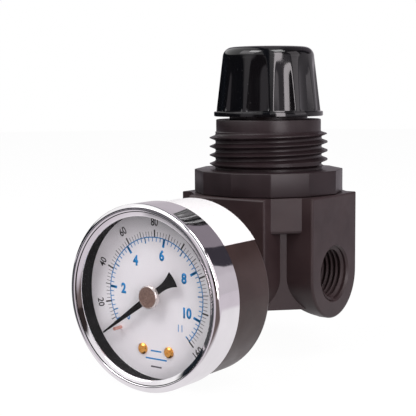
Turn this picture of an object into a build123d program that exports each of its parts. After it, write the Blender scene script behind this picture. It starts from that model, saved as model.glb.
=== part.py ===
"""Miniature air pressure regulator with a dial gauge, in millimetres.

Z points up along the regulator. The origin is the centre of the panel seat, the top
face of the twelve-sided flange. The inlet faces -X, the outlet +X and the gauge -Y.
The threads of the panel neck and the ports are plain here, at their major radius.
"""
import os
from math import cos, radians, sin, sqrt, tan

from build123d import *

# Clearances
RUN = 0.05            # shaft in its hole, radial
FIT = 0.05            # assembled pieces of one body, radial
FREE = 0.3            # pieces that must never rub
SEAM = 0.1            # open joint line under the flange

# Bonnet and panel neck
FLANGE_R = 18.9       # over the corners
FLANGE_SIDES = 12
FLANGE_TURN = 4.0     # first corner from +X, degrees
FLANGE_T = 5.8
FLANGE_CHAMFER = 0.7
NECK_R = 15.0         # major radius of the panel thread
NECK_H = 9.4
NECK_CHAMFER = 0.5
COLLAR_STEP = 1.7     # collar inside the thread's major radius
COLLAR_TOP = 12.6
BONNET_ROOF = 2.0
BONNET_WALL = 2.9
TUBE_R = 9.9          # inner neck that carries the knob
TUBE_WALL = 2.0
TUBE_H = 6.4
KEY_W = 2.0           # ribs that stop the travelling nut from turning
KEY_H = 1.2

# Body
BODY_SPAN = 38.8      # port face to port face
ARM_R = 11.1
ARM_EDGE = 0.6
PORT_DROP = 25.4      # port axis below the panel seat
BOSS_HALF = 19.5
BOSS_H = 8.6
BOSS_EDGE = 0.8
COLUMN_HALF = 16.5
COLUMN_DROP = 8.1     # underside below the port axis
POCKET_HALF = 15.0    # square pocket between the arms' undersides
POCKET_LIP = 2.5      # each arm stays whole this far from its face
PORT_R = 6.6          # major radius of the port thread
PORT_LIP = 0.5        # countersink at the mouth
PORT_WEB = 2.6        # metal between the port drill and the valve bore

# Diaphragm group
DIAPHRAGM_R = 15.0
RIM_T = 1.0
RIM_W = 1.6
SHEET_T = 0.6
LOOP_IN = 9.9         # the rolling loop starts at this radius
LOOP_DEPTH = 1.4
SLIP_T = 0.5
SPIGOT_H = 2.3
CHAMBER_H = 3.0
PLATE_GAP = 1.2       # plate inside the bonnet's cavity
PLATE_T = 1.2
PLATE_LIP = 0.5
PLATE_BOSS_GAP = 1.6  # boss inside the spring
PLATE_BOSS_H = 2.2
RIVET_R = 1.85
RIVET_HEAD_R = 2.9
RELIEF_R = 4.5
RELIEF_T = 1.2
BLEED_R = 0.7

# Control spring, travelling nut and adjusting screw
SPRING_GAP = 2.0      # spring inside the bonnet's cavity
SPRING_WIRE = 0.8
SPRING_TURNS = 5
SPRING_H = 13.3
NUT_T = 3.0
NUT_BOSS_GAP = 0.5    # boss inside the spring
NUT_BOSS_H = 2.0
SCREW_R = 3.9
SCREW_TAIL = 10.4
SCREW_FLANGE_R = 6.0
SCREW_FLANGE_T = 1.2
THRUST_PAST = 1.5
THRUST_T = 0.5
JOURNAL_R = 4.1
HEX_AF = 7.0
HEX_H = 11.4

# Knob
KNOB_GAP = 0.77       # above the collar, with the knob pushed down and locked
KNOB_H = 17.35
KNOB_WALL = 2.8       # at the foot of the side
KNOB_RIM = 0.62       # the rim stands out by this much
KNOB_RIM_H = 1.19
KNOB_TAPER = 1.95     # radius lost from foot to crown
KNOB_EDGE = 2.5
KNOB_ROOF = 2.6
KNOB_PLAY = 0.5       # between the knob's bore and the neck tube
KNOB_LIFT = 2.5
KNOB_BOSS_WALL = 2.3
KNOB_WEBS = 6
WEB_T = 1.2
FLUTES = 12
FLUTE_TURN = -54.3    # one ridge lies at this angle from +X
FLUTE_R = 7.2
FLUTE_DEEP = 0.9
FLUTE_SHALLOW = 0.45
DETENT_R = 0.4
DETENT_DOWN = 1.5     # ring below the top of the neck tube

# Valve
GUIDE_R = 7.0
GUIDE_T = 2.0
OUTLET_R = 5.0
SEAT_RISE = 2.8       # top of the seat web above the port axis
SEAT_T = 2.0
SEAT_BEAD = 0.5
ORIFICE_R = 2.8
VALVE_BORE_R = 6.0
STEM_R = 1.2
TAIL_R = 1.4
TAIL_L = 5.7
HEAD_R = 4.2
HEAD_T = 1.2
RUBBER_T = 1.15
VALVE_GAP = 0.05      # shut valve to its seat
VALVE_SPRING_R = 3.3
VALVE_SPRING_WIRE = 0.3
VALVE_SPRING_TURNS = 5
CAP_AF = 15.0
CAP_HEAD_T = 1.5
CAP_PLUG_H = 2.9
CAP_CUP_R = 4.6
CAP_CUP_H = 2.0
ORING_R = 0.74
INLET_R = 2.0
INLET_DROP = 2.8      # inlet passage below the port axis
OUTLET_HOLE_R = 1.7
OUTLET_HOLE_RISE = 5.0
GAUGE_HOLE_R = 1.2
PICKUP_R = 1.25       # tube that feeds outlet pressure to the diaphragm
PICKUP_BORE = 0.7
PICKUP_X = 9.8
PICKUP_STAND = 0.8
PLUG_AF = 6.0
PLUG_SINK = 0.3
PLUG_L = 8.0

# Gauge, along its axis from the port face outwards
GAUGE_SQUARE = 12.0
SQUARE_START = 0.3
SQUARE_L = 7.8
STEM_NECK_R = 5.5
STEM_NECK_L = 4.5
AIR_R = 1.5
BLOCK_W = 10.0
BLOCK_UP = 4.0
BLOCK_PAST = 2.6      # block beyond the tube's bend
BLOCK_T = 9.0
CASE_R = 20.45
CASE_WALL = 0.8
CASE_L = 17.4
CASE_EDGE = 1.2
BEZEL_SKIRT = 0.5
BEZEL_L = 7.75
BEZEL_LIP = 1.0
BEZEL_COVER = 2.25    # the lip reaches inside the case's radius
BEZEL_ROUND = 1.1
WINDOW_T = 0.9
GASKET_STEP = 0.7     # gasket outside the lip's opening
GASKET_W = 0.7
GASKET_T = 1.6
DIAL_GAP = 0.25       # dial inside the case
DIAL_T = 0.5
DIAL_DEPTH = 5.2      # printed face behind the front of the bezel
DIAL_SCREW = (3.7, -12.5)
DIAL_SCREW_R = 0.7
DIAL_HEAD_R = 1.25
DIAL_HEAD_T = 0.6
DIAL_SLOT = 0.3

# Bourdon tube and its tip; clock angles are seen from the front, clockwise from the top
TUBE_IN = 7.45        # middle of the tube inside the case's radius
TUBE_TALL = 3.6
TUBE_FLAT = 1.3
TUBE_SKIN = 0.25
TUBE_FROM = 186.0
TUBE_TO = 479.0
TUBE_SETBACK = 9.5    # tube axis behind the dial face
TIP_FROM = 476.0
TIP_TO = 485.0
TIP_WALL = 0.5
TIP_PIN_CLOCK = 481.0
PIN_R = 0.35
LINK_EYE_R = 0.9
LINK_W = 0.9
LINK_T = 0.5
LINK_PLAY = 0.05
OPEN_PLAY = 0.15      # at the tip, where the linkage is left open

# Movement
PLATE_GAUGE_T = 0.8
MOVEMENT_W = 10.4
MOVEMENT_UP = 5.0
MOVEMENT_PAST = 4.2   # plates beyond the sector's pivot
MOVEMENT_CORNER = 2.5
MOVEMENT_GAP = 3.9    # between the two plates
PILLAR_R = 0.9
PILLAR_STUB_R = 0.5
PILLARS = [(-3.6, 3.4), (3.6, 3.4), (-4.0, -9.6), (4.0, -9.6)]
MODULE = 0.2
PINION_TEETH = 10
SECTOR_TEETH = 100    # of the full circle
SECTOR_HALF_COUNT = 6
SECTOR_LEAN = 4       # teeth between the sector's middle and the pinion at rest
SECTOR_T = 0.8
SECTOR_RIM = 1.8
SECTOR_ARM = 1.4
ARBOR_R = 0.8
PIVOT_R = 0.45
TAIL_CLOCK = 140.0
TAIL_ARM = 5.0
SHAFT_R = 0.6
HAIR_T = 0.12
HAIR_H = 0.5
HAIR_TURNS = 4
MOVEMENT_SCREWS = [(-3.4, -3.0), (3.4, -3.0)]

# Pointer
POINTER_CLOCK = -125.0
POINTER_SHORT = 1.2   # tip inside the lip's opening
POINTER_TAIL = 8.0
POINTER_TAIL_HALF = 13.0
POINTER_W = 0.75
POINTER_T = 0.3
POINTER_LIFT = 1.7    # above the dial face
HUB_R = 2.6
HUB_T = 0.95
BUSH_R = 1.3
STOP_R = 0.4
STOP_RADIUS = 13.2
STOP_CLOCK = -129.5
STOP_H = 2.4

FLOOR = (Align.CENTER, Align.CENTER, Align.MIN)

# Levels along Z
PORT_FACE = BODY_SPAN / 2
PORT_Z = -PORT_DROP
BODY_TOP = -FLANGE_T - SEAM
COLUMN_BOTTOM = PORT_Z - COLUMN_DROP
SPIGOT_LOW = -FLANGE_T - SPIGOT_H
RIM_TOP = SPIGOT_LOW - SLIP_T
LEDGE = RIM_TOP - RIM_T
CHAMBER_R = DIAPHRAGM_R - RIM_W
CHAMBER_FLOOR = LEDGE - CHAMBER_H
SHEET_TOP = RIM_TOP - 0.3
SHEET_LOW = SHEET_TOP - SHEET_T
PLATE_TOP = SHEET_TOP + PLATE_T
RELIEF_LOW = SHEET_LOW - RELIEF_T
COLLAR_R = NECK_R - COLLAR_STEP
CAVITY_R = COLLAR_R - BONNET_WALL
SPRING_R = CAVITY_R - SPRING_GAP - SPRING_WIRE
THRUST_R = min(SCREW_FLANGE_R + THRUST_PAST, CAVITY_R - KEY_H - FREE)
PLATE_R = CAVITY_R - PLATE_GAP
PLATE_BOSS_R = SPRING_R - SPRING_WIRE - PLATE_BOSS_GAP
NUT_BOSS_R = max(SPRING_R - SPRING_WIRE - NUT_BOSS_GAP, SCREW_R + 4 * RUN)
KNOB_BORE_R = TUBE_R + KNOB_PLAY
KNOB_BASE_R = KNOB_BORE_R + KNOB_WALL
KNOB_RIM_R = KNOB_BASE_R + KNOB_RIM
KNOB_CROWN_R = KNOB_BASE_R - KNOB_TAPER
CAVITY_TOP = COLLAR_TOP - BONNET_ROOF
TUBE_TOP = COLLAR_TOP + TUBE_H
DETENT_Z = TUBE_TOP - DETENT_DOWN
NUT_LOW = PLATE_TOP + SPRING_H
SCREW_FLANGE_TOP = CAVITY_TOP - THRUST_T
SCREW_FLANGE_LOW = SCREW_FLANGE_TOP - SCREW_FLANGE_T
HEX_TOP = COLLAR_TOP + HEX_H
KNOB_LOW = COLLAR_TOP + KNOB_GAP
KNOB_TOP = KNOB_LOW + KNOB_H
KNOB_CEILING = KNOB_TOP - KNOB_ROOF
GUIDE_LOW = CHAMBER_FLOOR - GUIDE_T
SEAT_TOP = PORT_Z + SEAT_RISE
SEAT_LOW = SEAT_TOP - SEAT_T
PORT_END = VALVE_BORE_R + PORT_WEB
RUBBER_TOP = SEAT_LOW - SEAT_BEAD - VALVE_GAP
HEAD_TOP = RUBBER_TOP - RUBBER_T
HEAD_LOW = HEAD_TOP - HEAD_T
CUP_FLOOR = COLUMN_BOTTOM + CAP_PLUG_H - CAP_CUP_H
ORING_BORE = VALVE_BORE_R + 2 * ORING_R + 0.02

# Radii of the gauge
CASE_IN_R = CASE_R - CASE_WALL
BEZEL_R = CASE_R + FIT + BEZEL_SKIRT
BEZEL_OPENING = CASE_R - BEZEL_COVER
GASKET_R = BEZEL_OPENING + GASKET_STEP
DIAL_R = CASE_IN_R - DIAL_GAP
TUBE_BEND_R = CASE_R - TUBE_IN
BLOCK_DOWN = TUBE_BEND_R + BLOCK_PAST
POINTER_TIP = BEZEL_OPENING - POINTER_SHORT

# Levels along the gauge axis, from the regulator's axis
NECK_START = PORT_FACE + SQUARE_START + SQUARE_L
CASE_BACK = PORT_FACE + SQUARE_START + SQUARE_L + STEM_NECK_L - CASE_WALL
BLOCK_BACK = CASE_BACK + CASE_WALL
BLOCK_FRONT = BLOCK_BACK + BLOCK_T
CASE_RIM = CASE_BACK + CASE_L
GASKET_FRONT = CASE_RIM + SEAM / 2 + GASKET_T
WINDOW_FRONT = GASKET_FRONT + WINDOW_T
LIP_BACK = WINDOW_FRONT + SEAM / 2
BEZEL_FRONT = LIP_BACK + BEZEL_LIP
DIAL_FACE = BEZEL_FRONT - DIAL_DEPTH
FRONT_PLATE = DIAL_FACE - DIAL_T - PLATE_GAUGE_T
BACK_PLATE = FRONT_PLATE - MOVEMENT_GAP - PLATE_GAUGE_T
TUBE_S = DIAL_FACE - TUBE_SETBACK
SECTOR_S = FRONT_PLATE - MOVEMENT_GAP / 2 - SECTOR_T / 2
LINK_S = SECTOR_S - LINK_T - 0.4
POINTER_S = DIAL_FACE + POINTER_LIFT
PINION_PITCH_R = MODULE * PINION_TEETH / 2
SECTOR_PITCH_R = MODULE * SECTOR_TEETH / 2
SECTOR_PIVOT = (0.0, -(PINION_PITCH_R + SECTOR_PITCH_R))
SECTOR_CLOCK = SECTOR_LEAN * 360 / SECTOR_TEETH
MOVEMENT_DOWN = PINION_PITCH_R + SECTOR_PITCH_R + MOVEMENT_PAST


def clock(radius, angle):
    """A point on the dial, with the angle clockwise from the top."""
    return (radius * sin(radians(angle)), radius * cos(radians(angle)))


TIP_PIN = clock(TUBE_BEND_R, TIP_PIN_CLOCK)
TAIL_END = clock(TAIL_ARM, TAIL_CLOCK)
TAIL_PIN = (SECTOR_PIVOT[0] + TAIL_END[0], SECTOR_PIVOT[1] + TAIL_END[1])


def disc(radius, low, high, at=(0, 0)):
    """A round disc or pin between two heights."""
    return Pos(at[0], at[1], low) * Cylinder(radius, high - low, align=FLOOR)


def hexagon(across_flats, low, high):
    """A hexagonal bar between two heights."""
    outline = RegularPolygon(across_flats / 2, 6, major_radius=False)
    return extrude(Pos(0, 0, low) * outline, amount=high - low)


def turned(*corners):
    """A solid of revolution about Z from its (radius, height) corners."""
    profile = make_face(Polyline(*corners, close=True))
    return revolve(Plane.XZ * profile, Axis.Z)


def swept(profile, start, end):
    """A profile turned about the gauge axis between two clock angles."""
    return Rot(0, 0, 90 - end) * revolve(Plane.XZ * profile, Axis.Z, end - start)


def coil(mean_r, wire_r, low, high, turns):
    """A round-wire spring standing between two faces."""
    rise = high - low - 2 * wire_r
    path = Pos(0, 0, low + wire_r) * Helix(rise / turns, rise, mean_r)
    section = Plane(origin=path @ 0, z_dir=path % 0) * Circle(wire_r)
    return sweep(section, path=path, is_frenet=True)


def on_gauge(solid):
    """Stand a gauge piece on the front port: its own Z becomes the gauge axis."""
    return Location((0, 0, PORT_Z), (90, 0, 0)) * solid


def toward(angle, solid):
    """Turn a piece made along +X to face a port."""
    return Rot(0, 0, angle) * solid


def drill(radius, start, end, level):
    """A round hole along +X at one height."""
    return Pos(start, 0, level) * Rot(0, 90, 0) * Cylinder(radius, end - start, align=FLOOR)


# Regulator body

def arm_bar():
    """Two opposite port arms as one bar with a half-round underside."""
    wall = Pos(0, (BODY_TOP + PORT_Z) / 2) * Rectangle(2 * ARM_R, BODY_TOP - PORT_Z)
    outline = wall + Pos(0, PORT_Z) * Circle(ARM_R)
    bar = extrude(Plane.YZ * outline, amount=PORT_FACE, both=True)
    ends = bar.faces().sort_by(Axis.X)
    return fillet(ends[0].edges() + ends[-1].edges(), ARM_EDGE)


def diagonal_block(half, low, high, edge=0.0, lip=1.0):
    """A square block turned by 45 degrees and cut back inside the arms."""
    block = Pos(0, 0, low) * Rot(0, 0, 45) * Box(2 * half, 2 * half, high - low, align=FLOOR)
    if edge:
        block = fillet(block.faces().sort_by(Axis.Z)[0].edges(), edge)
    inside = 2 * (PORT_FACE - lip)
    return block & Pos(0, 0, low) * Box(inside, inside, high - low, align=FLOOR)


def port_drill():
    """The plain bore of one port with its countersunk mouth, along +X."""
    mouth = PORT_R + PORT_LIP
    bore = turned(
        (0, PORT_END), (PORT_R, PORT_END), (PORT_R, PORT_FACE - PORT_LIP),
        (mouth, PORT_FACE), (mouth, PORT_FACE + 1), (0, PORT_FACE + 1))
    return Pos(0, 0, PORT_Z) * Rot(0, 90, 0) * bore


def body():
    """Die-cast body: four port arms, corner bosses and the bored column."""
    bar = arm_bar()
    solid = diagonal_block(COLUMN_HALF, COLUMN_BOTTOM, BODY_TOP)
    solid += diagonal_block(BOSS_HALF, BODY_TOP - BOSS_H, BODY_TOP, BOSS_EDGE)
    solid += bar + toward(90, bar)
    solid -= disc(DIAPHRAGM_R + FREE, LEDGE, 0)
    solid -= disc(CHAMBER_R, CHAMBER_FLOOR, 0)
    solid -= disc(GUIDE_R, GUIDE_LOW, 0)
    solid -= disc(OUTLET_R, SEAT_TOP, 0)
    solid -= disc(ORIFICE_R, SEAT_LOW - 1, 0)
    valve_bore = disc(VALVE_BORE_R, COLUMN_BOTTOM - 1, SEAT_LOW)
    bead = disc(ORIFICE_R + SEAT_BEAD, SEAT_LOW - SEAT_BEAD, SEAT_LOW) - disc(ORIFICE_R, SEAT_LOW - 1, 0)
    solid -= valve_bore - bead
    solid -= disc(ORING_BORE, COLUMN_BOTTOM - 1, COLUMN_BOTTOM + 2 * ORING_R + 0.02)
    solid -= diagonal_block(POCKET_HALF, PORT_Z - ARM_R - 1, COLUMN_BOTTOM, lip=POCKET_LIP)
    for angle in range(0, 360, 90):
        solid -= toward(angle, port_drill())
    outlet_start = OUTLET_R - 1
    outlet_level = PORT_Z + OUTLET_HOLE_RISE
    solid -= toward(180, drill(INLET_R, VALVE_BORE_R - 1, PORT_END + 1, PORT_Z - INLET_DROP))
    solid -= drill(OUTLET_HOLE_R, outlet_start, PORT_END + 1, outlet_level)
    solid -= toward(90, drill(GAUGE_HOLE_R, outlet_start, PORT_END + 1, outlet_level))
    solid -= toward(-90, drill(GAUGE_HOLE_R, outlet_start, PORT_END + 1, outlet_level))
    return solid - disc(PICKUP_R + FIT / 2, PORT_Z, 0, (PICKUP_X, 0))


def pickup_tube():
    """Brass tube from the outlet port up through the chamber floor."""
    low = PORT_Z + PORT_R + 0.6
    high = CHAMBER_FLOOR + PICKUP_STAND
    return disc(PICKUP_R, low, high, (PICKUP_X, 0)) - disc(PICKUP_BORE, low - 1, high + 1, (PICKUP_X, 0))


def rear_port_plug():
    """Hexagon-socket plug that shuts the port behind."""
    end = PORT_FACE - PLUG_SINK
    start = end - PLUG_L
    thread_r = PORT_R - FIT
    plug = turned((0, start), (thread_r - 0.6, start), (thread_r, start + 0.6),
                  (thread_r, end - 0.4), (thread_r - 0.4, end), (0, end))
    plug -= hexagon(PLUG_AF, end - PLUG_L / 2, end + 1)
    return Location((0, 0, PORT_Z), (-90, 0, 0)) * plug


# Bonnet and what it holds

def flange():
    """Twelve-sided flange with its corners chamfered at the top, as on a nut."""
    prism = extrude(Pos(0, 0, -FLANGE_T) * RegularPolygon(FLANGE_R, FLANGE_SIDES), amount=FLANGE_T)
    limit = FLANGE_R + 0.1
    barrel = turned((0, -FLANGE_T), (limit, -FLANGE_T), (limit, -FLANGE_CHAMFER / 2),
                    (limit - FLANGE_CHAMFER, 0), (0, 0))
    return Rot(0, 0, FLANGE_TURN) * prism & barrel


def bonnet():
    """Flange, panel neck, collar and knob tube in one piece, open below."""
    spigot_r = DIAPHRAGM_R + FREE - FIT
    outside = turned(
        (0, SPIGOT_LOW), (spigot_r, SPIGOT_LOW), (spigot_r, -1), (NECK_R, -1),
        (NECK_R, NECK_H - NECK_CHAMFER), (NECK_R - NECK_CHAMFER, NECK_H), (COLLAR_R, NECK_H),
        (COLLAR_R, COLLAR_TOP - 0.3), (COLLAR_R - 0.3, COLLAR_TOP), (TUBE_R, COLLAR_TOP),
        (TUBE_R, TUBE_TOP - 0.4), (TUBE_R - 0.4, TUBE_TOP), (0, TUBE_TOP))
    solid = outside + flange()
    solid -= disc(CAVITY_R, SPIGOT_LOW - 1, CAVITY_TOP)
    solid -= disc(JOURNAL_R + RUN, CAVITY_TOP - 1, COLLAR_TOP + 1)
    solid -= disc(TUBE_R - TUBE_WALL, COLLAR_TOP, TUBE_TOP + 1)
    solid -= Pos(0, 0, DETENT_Z) * Torus(TUBE_R - FIT, DETENT_R + FIT / 2)
    key_low = NUT_LOW - KNOB_LIFT - 2 * NUT_T
    key = Box(KEY_H + 0.2, KEY_W, CAVITY_TOP - key_low + 0.2, align=(Align.MAX, Align.CENTER, Align.MIN))
    for angle in (0, 180):
        solid += toward(angle, Pos(CAVITY_R + 0.2, 0, key_low) * key)
    return solid


def detent_ring():
    """Elastic ring that snaps into one of two grooves inside the knob."""
    return Pos(0, 0, DETENT_Z) * Torus(TUBE_R - FIT, DETENT_R)


def slip_ring():
    """Thin ring that lets the bonnet turn home without dragging the diaphragm."""
    return disc(DIAPHRAGM_R, RIM_TOP, SPIGOT_LOW) - disc(CHAMBER_R - 0.2, RIM_TOP - 1, SPIGOT_LOW + 1)


def diaphragm():
    """Moulded rubber disc: clamped rim, rolling loop and flat middle."""
    hole = RIVET_R + FIT
    loop_out = CHAMBER_R - 0.1
    middle = (LOOP_IN + loop_out) / 2
    edges = [
        Line((hole, SHEET_LOW), (LOOP_IN, SHEET_LOW)),
        ThreePointArc((LOOP_IN, SHEET_LOW), (middle, SHEET_LOW - LOOP_DEPTH), (loop_out, SHEET_LOW)),
        Polyline((loop_out, SHEET_LOW), (loop_out, LEDGE), (DIAPHRAGM_R, LEDGE), (DIAPHRAGM_R, RIM_TOP),
                 (loop_out, RIM_TOP), (loop_out, SHEET_TOP), (loop_out - SHEET_T, SHEET_TOP)),
        ThreePointArc((loop_out - SHEET_T, SHEET_TOP), (middle, SHEET_TOP - LOOP_DEPTH),
                      (LOOP_IN + SHEET_T, SHEET_TOP)),
        Polyline((LOOP_IN + SHEET_T, SHEET_TOP), (hole, SHEET_TOP), (hole, SHEET_LOW))]
    return revolve(Plane.XZ * make_face(edges), Axis.Z)


def diaphragm_plate():
    """Pressed plate on the diaphragm, dished to hold the spring."""
    hole = RIVET_R + FIT
    lip_in = PLATE_R - PLATE_LIP
    return turned(
        (hole, SHEET_TOP), (PLATE_R - 0.3, SHEET_TOP), (PLATE_R, SHEET_TOP + 0.3),
        (PLATE_R, PLATE_TOP + 0.7), (lip_in, PLATE_TOP + 0.7), (lip_in, PLATE_TOP),
        (PLATE_BOSS_R, PLATE_TOP), (PLATE_BOSS_R, PLATE_TOP + PLATE_BOSS_H),
        (hole, PLATE_TOP + PLATE_BOSS_H))


def relief_seat():
    """Brass rivet through the diaphragm, with the bleed hole that the stem shuts."""
    head_low = PLATE_TOP + PLATE_BOSS_H
    return turned(
        (BLEED_R, RELIEF_LOW), (RELIEF_R, RELIEF_LOW), (RELIEF_R, SHEET_LOW), (RIVET_R, SHEET_LOW),
        (RIVET_R, head_low), (RIVET_HEAD_R, head_low), (RIVET_HEAD_R - 0.3, head_low + 0.5),
        (BLEED_R, head_low + 0.5))


def control_spring():
    """Spring that loads the diaphragm."""
    return coil(SPRING_R, SPRING_WIRE, PLATE_TOP, NUT_LOW, SPRING_TURNS)


def spring_button():
    """Travelling nut above the spring, keyed on the two ribs of the bonnet."""
    nut_r = CAVITY_R - 0.2
    top = NUT_LOW + NUT_T
    nut = turned(
        (0, NUT_LOW - NUT_BOSS_H), (NUT_BOSS_R - 0.5, NUT_LOW - NUT_BOSS_H), (NUT_BOSS_R, NUT_LOW - NUT_BOSS_H + 0.5),
        (NUT_BOSS_R, NUT_LOW), (nut_r, NUT_LOW), (nut_r, top), (0, top))
    nut -= disc(SCREW_R + RUN, NUT_LOW - NUT_BOSS_H - 1, top + 1)
    key_in = CAVITY_R - KEY_H - 0.15
    slot = Box(KEY_H + 1, KEY_W + 0.2, NUT_T + 2, align=(Align.MIN, Align.CENTER, Align.MIN))
    for angle in (0, 180):
        nut -= toward(angle, Pos(key_in, 0, NUT_LOW - 1) * slot)
    return nut


def adjusting_screw():
    """Left-hand screw that turns with the knob and drives the nut down."""
    low = SCREW_FLANGE_LOW - SCREW_TAIL
    screw = turned(
        (0, low), (SCREW_R - 0.5, low), (SCREW_R, low + 0.5), (SCREW_R, SCREW_FLANGE_LOW),
        (SCREW_FLANGE_R, SCREW_FLANGE_LOW), (SCREW_FLANGE_R, SCREW_FLANGE_TOP),
        (JOURNAL_R, SCREW_FLANGE_TOP), (JOURNAL_R, COLLAR_TOP), (0, COLLAR_TOP))
    point_r = HEX_AF / 2
    corner_r = HEX_AF / sqrt(3)
    cone = turned((0, COLLAR_TOP), (corner_r + 0.1, COLLAR_TOP), (corner_r + 0.1, HEX_TOP - 0.6),
                  (point_r, HEX_TOP), (0, HEX_TOP))
    return screw + (hexagon(HEX_AF, COLLAR_TOP, HEX_TOP) & cone)


def thrust_washer():
    """Plastic washer between the screw's flange and the bonnet roof."""
    ring = disc(THRUST_R, SCREW_FLANGE_TOP + 0.03, CAVITY_TOP)
    return ring - disc(JOURNAL_R + 0.15, SCREW_FLANGE_TOP - 1, CAVITY_TOP + 1)


# Knob

def knob_shell():
    """Outside of the knob: rim, tapered side and rounded crown."""
    rim_top = KNOB_LOW + KNOB_RIM_H
    shell = turned((0, KNOB_LOW), (KNOB_RIM_R, KNOB_LOW), (KNOB_RIM_R, rim_top),
                   (KNOB_BASE_R, rim_top), (KNOB_CROWN_R, KNOB_TOP), (0, KNOB_TOP))
    return fillet(shell.edges().group_by(Axis.Z)[-1], KNOB_EDGE)


def flute():
    """One scallop along the knob's side, deep at the rim and fading upwards."""
    low = KNOB_LOW + KNOB_RIM_H + 0.35
    high = KNOB_TOP - KNOB_EDGE
    slope = (KNOB_BASE_R - KNOB_CROWN_R) / (KNOB_TOP - KNOB_LOW - KNOB_RIM_H)
    lean = slope * (high - low) - (FLUTE_DEEP - FLUTE_SHALLOW)
    tilt = lean / (high - low)
    centre = KNOB_BASE_R - FLUTE_DEEP + FLUTE_R
    bar = Cylinder(FLUTE_R, 2 * KNOB_H, align=FLOOR)
    return Pos(centre, 0, low) * Rot(0, -tilt * 57.3, 0) * bar


def knob():
    """Fluted knob: a hollow cap with a hexagon socket, webs and two snap grooves."""
    solid = knob_shell()
    for index in range(FLUTES):
        turn = FLUTE_TURN + (index + 0.5) * 360 / FLUTES
        solid -= toward(turn, flute())
    boss_r = HEX_AF / sqrt(3) + KNOB_BOSS_WALL
    boss_low = COLLAR_TOP + TUBE_H / 2
    solid -= disc(KNOB_BORE_R, KNOB_LOW - 1, KNOB_CEILING)
    for level in (DETENT_Z, DETENT_Z - KNOB_LIFT):
        solid -= Pos(0, 0, level) * Torus(KNOB_BORE_R - 0.1, DETENT_R)
    solid += disc(boss_r, boss_low, KNOB_CEILING + 0.1)
    web_low = TUBE_TOP + 3 * FREE
    web = Box(KNOB_BORE_R - boss_r + 1, WEB_T, KNOB_CEILING - web_low + 0.1, align=(Align.MIN, Align.CENTER, Align.MIN))
    for index in range(KNOB_WEBS):
        solid += toward(index * 360 / KNOB_WEBS, Pos(boss_r - 0.5, 0, web_low) * web)
    return solid - hexagon(HEX_AF + 2 * RUN, boss_low - 1, HEX_TOP + FREE)


# Valve

def stem_guide():
    """Disc that guides the valve stem under the diaphragm."""
    outer = GUIDE_R - FIT
    bore = STEM_R + RUN
    return turned(
        (bore, GUIDE_LOW), (outer, GUIDE_LOW), (outer, CHAMBER_FLOOR - 0.3), (outer - 0.3, CHAMBER_FLOOR),
        (bore + 1.2, CHAMBER_FLOOR), (bore, CHAMBER_FLOOR - 1))


def valve_poppet():
    """Valve head with its long stem above and guide tail below."""
    tip = RELIEF_LOW - 0.1
    return turned(
        (0, HEAD_LOW - TAIL_L), (TAIL_R - 0.3, HEAD_LOW - TAIL_L), (TAIL_R, HEAD_LOW - TAIL_L + 0.3),
        (TAIL_R, HEAD_LOW), (HEAD_R, HEAD_LOW), (HEAD_R, HEAD_TOP), (STEM_R, HEAD_TOP),
        (STEM_R, tip - 0.6), (0.3, tip), (0, tip))


def valve_rubber():
    """Rubber facing of the valve head."""
    ring = disc(HEAD_R - 0.2, HEAD_TOP, RUBBER_TOP)
    return ring - disc(STEM_R + FIT, HEAD_TOP - 1, RUBBER_TOP + 1)


def valve_spring():
    """Light spring that shuts the valve."""
    return coil(VALVE_SPRING_R, VALVE_SPRING_WIRE, CUP_FLOOR, HEAD_LOW, VALVE_SPRING_TURNS)


def valve_cap():
    """Hexagon-head plug under the valve, with the spring cup and the tail's guide."""
    head_low = COLUMN_BOTTOM - CAP_HEAD_T
    plug_top = COLUMN_BOTTOM + CAP_PLUG_H
    corner = CAP_AF / sqrt(3)
    barrel = turned((0, head_low), (CAP_AF / 2, head_low), (corner + 0.1, head_low + 0.6),
                    (corner + 0.1, COLUMN_BOTTOM), (0, COLUMN_BOTTOM))
    solid = hexagon(CAP_AF, head_low, COLUMN_BOTTOM) & barrel
    solid += disc(VALVE_BORE_R - FIT, COLUMN_BOTTOM, plug_top)
    solid -= disc(CAP_CUP_R, CUP_FLOOR, plug_top + 1)
    return solid - disc(TAIL_R + 2 * RUN, HEAD_LOW - TAIL_L - 1.2, plug_top)


def valve_cap_oring():
    """Seal round the cap's plug."""
    return Pos(0, 0, COLUMN_BOTTOM + ORING_R + 0.01) * Torus(VALVE_BORE_R + ORING_R + 0.01, ORING_R)


# Gauge pieces stand along their own Z, the gauge axis, with Y up

def tube_outline(grow=0.0):
    """Section of the Bourdon tube: a flat slot, tall along the gauge axis."""
    slot = SlotOverall(TUBE_TALL + 2 * grow, TUBE_FLAT + 2 * grow, rotation=90)
    return Pos(TUBE_BEND_R, TUBE_S) * slot


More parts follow.
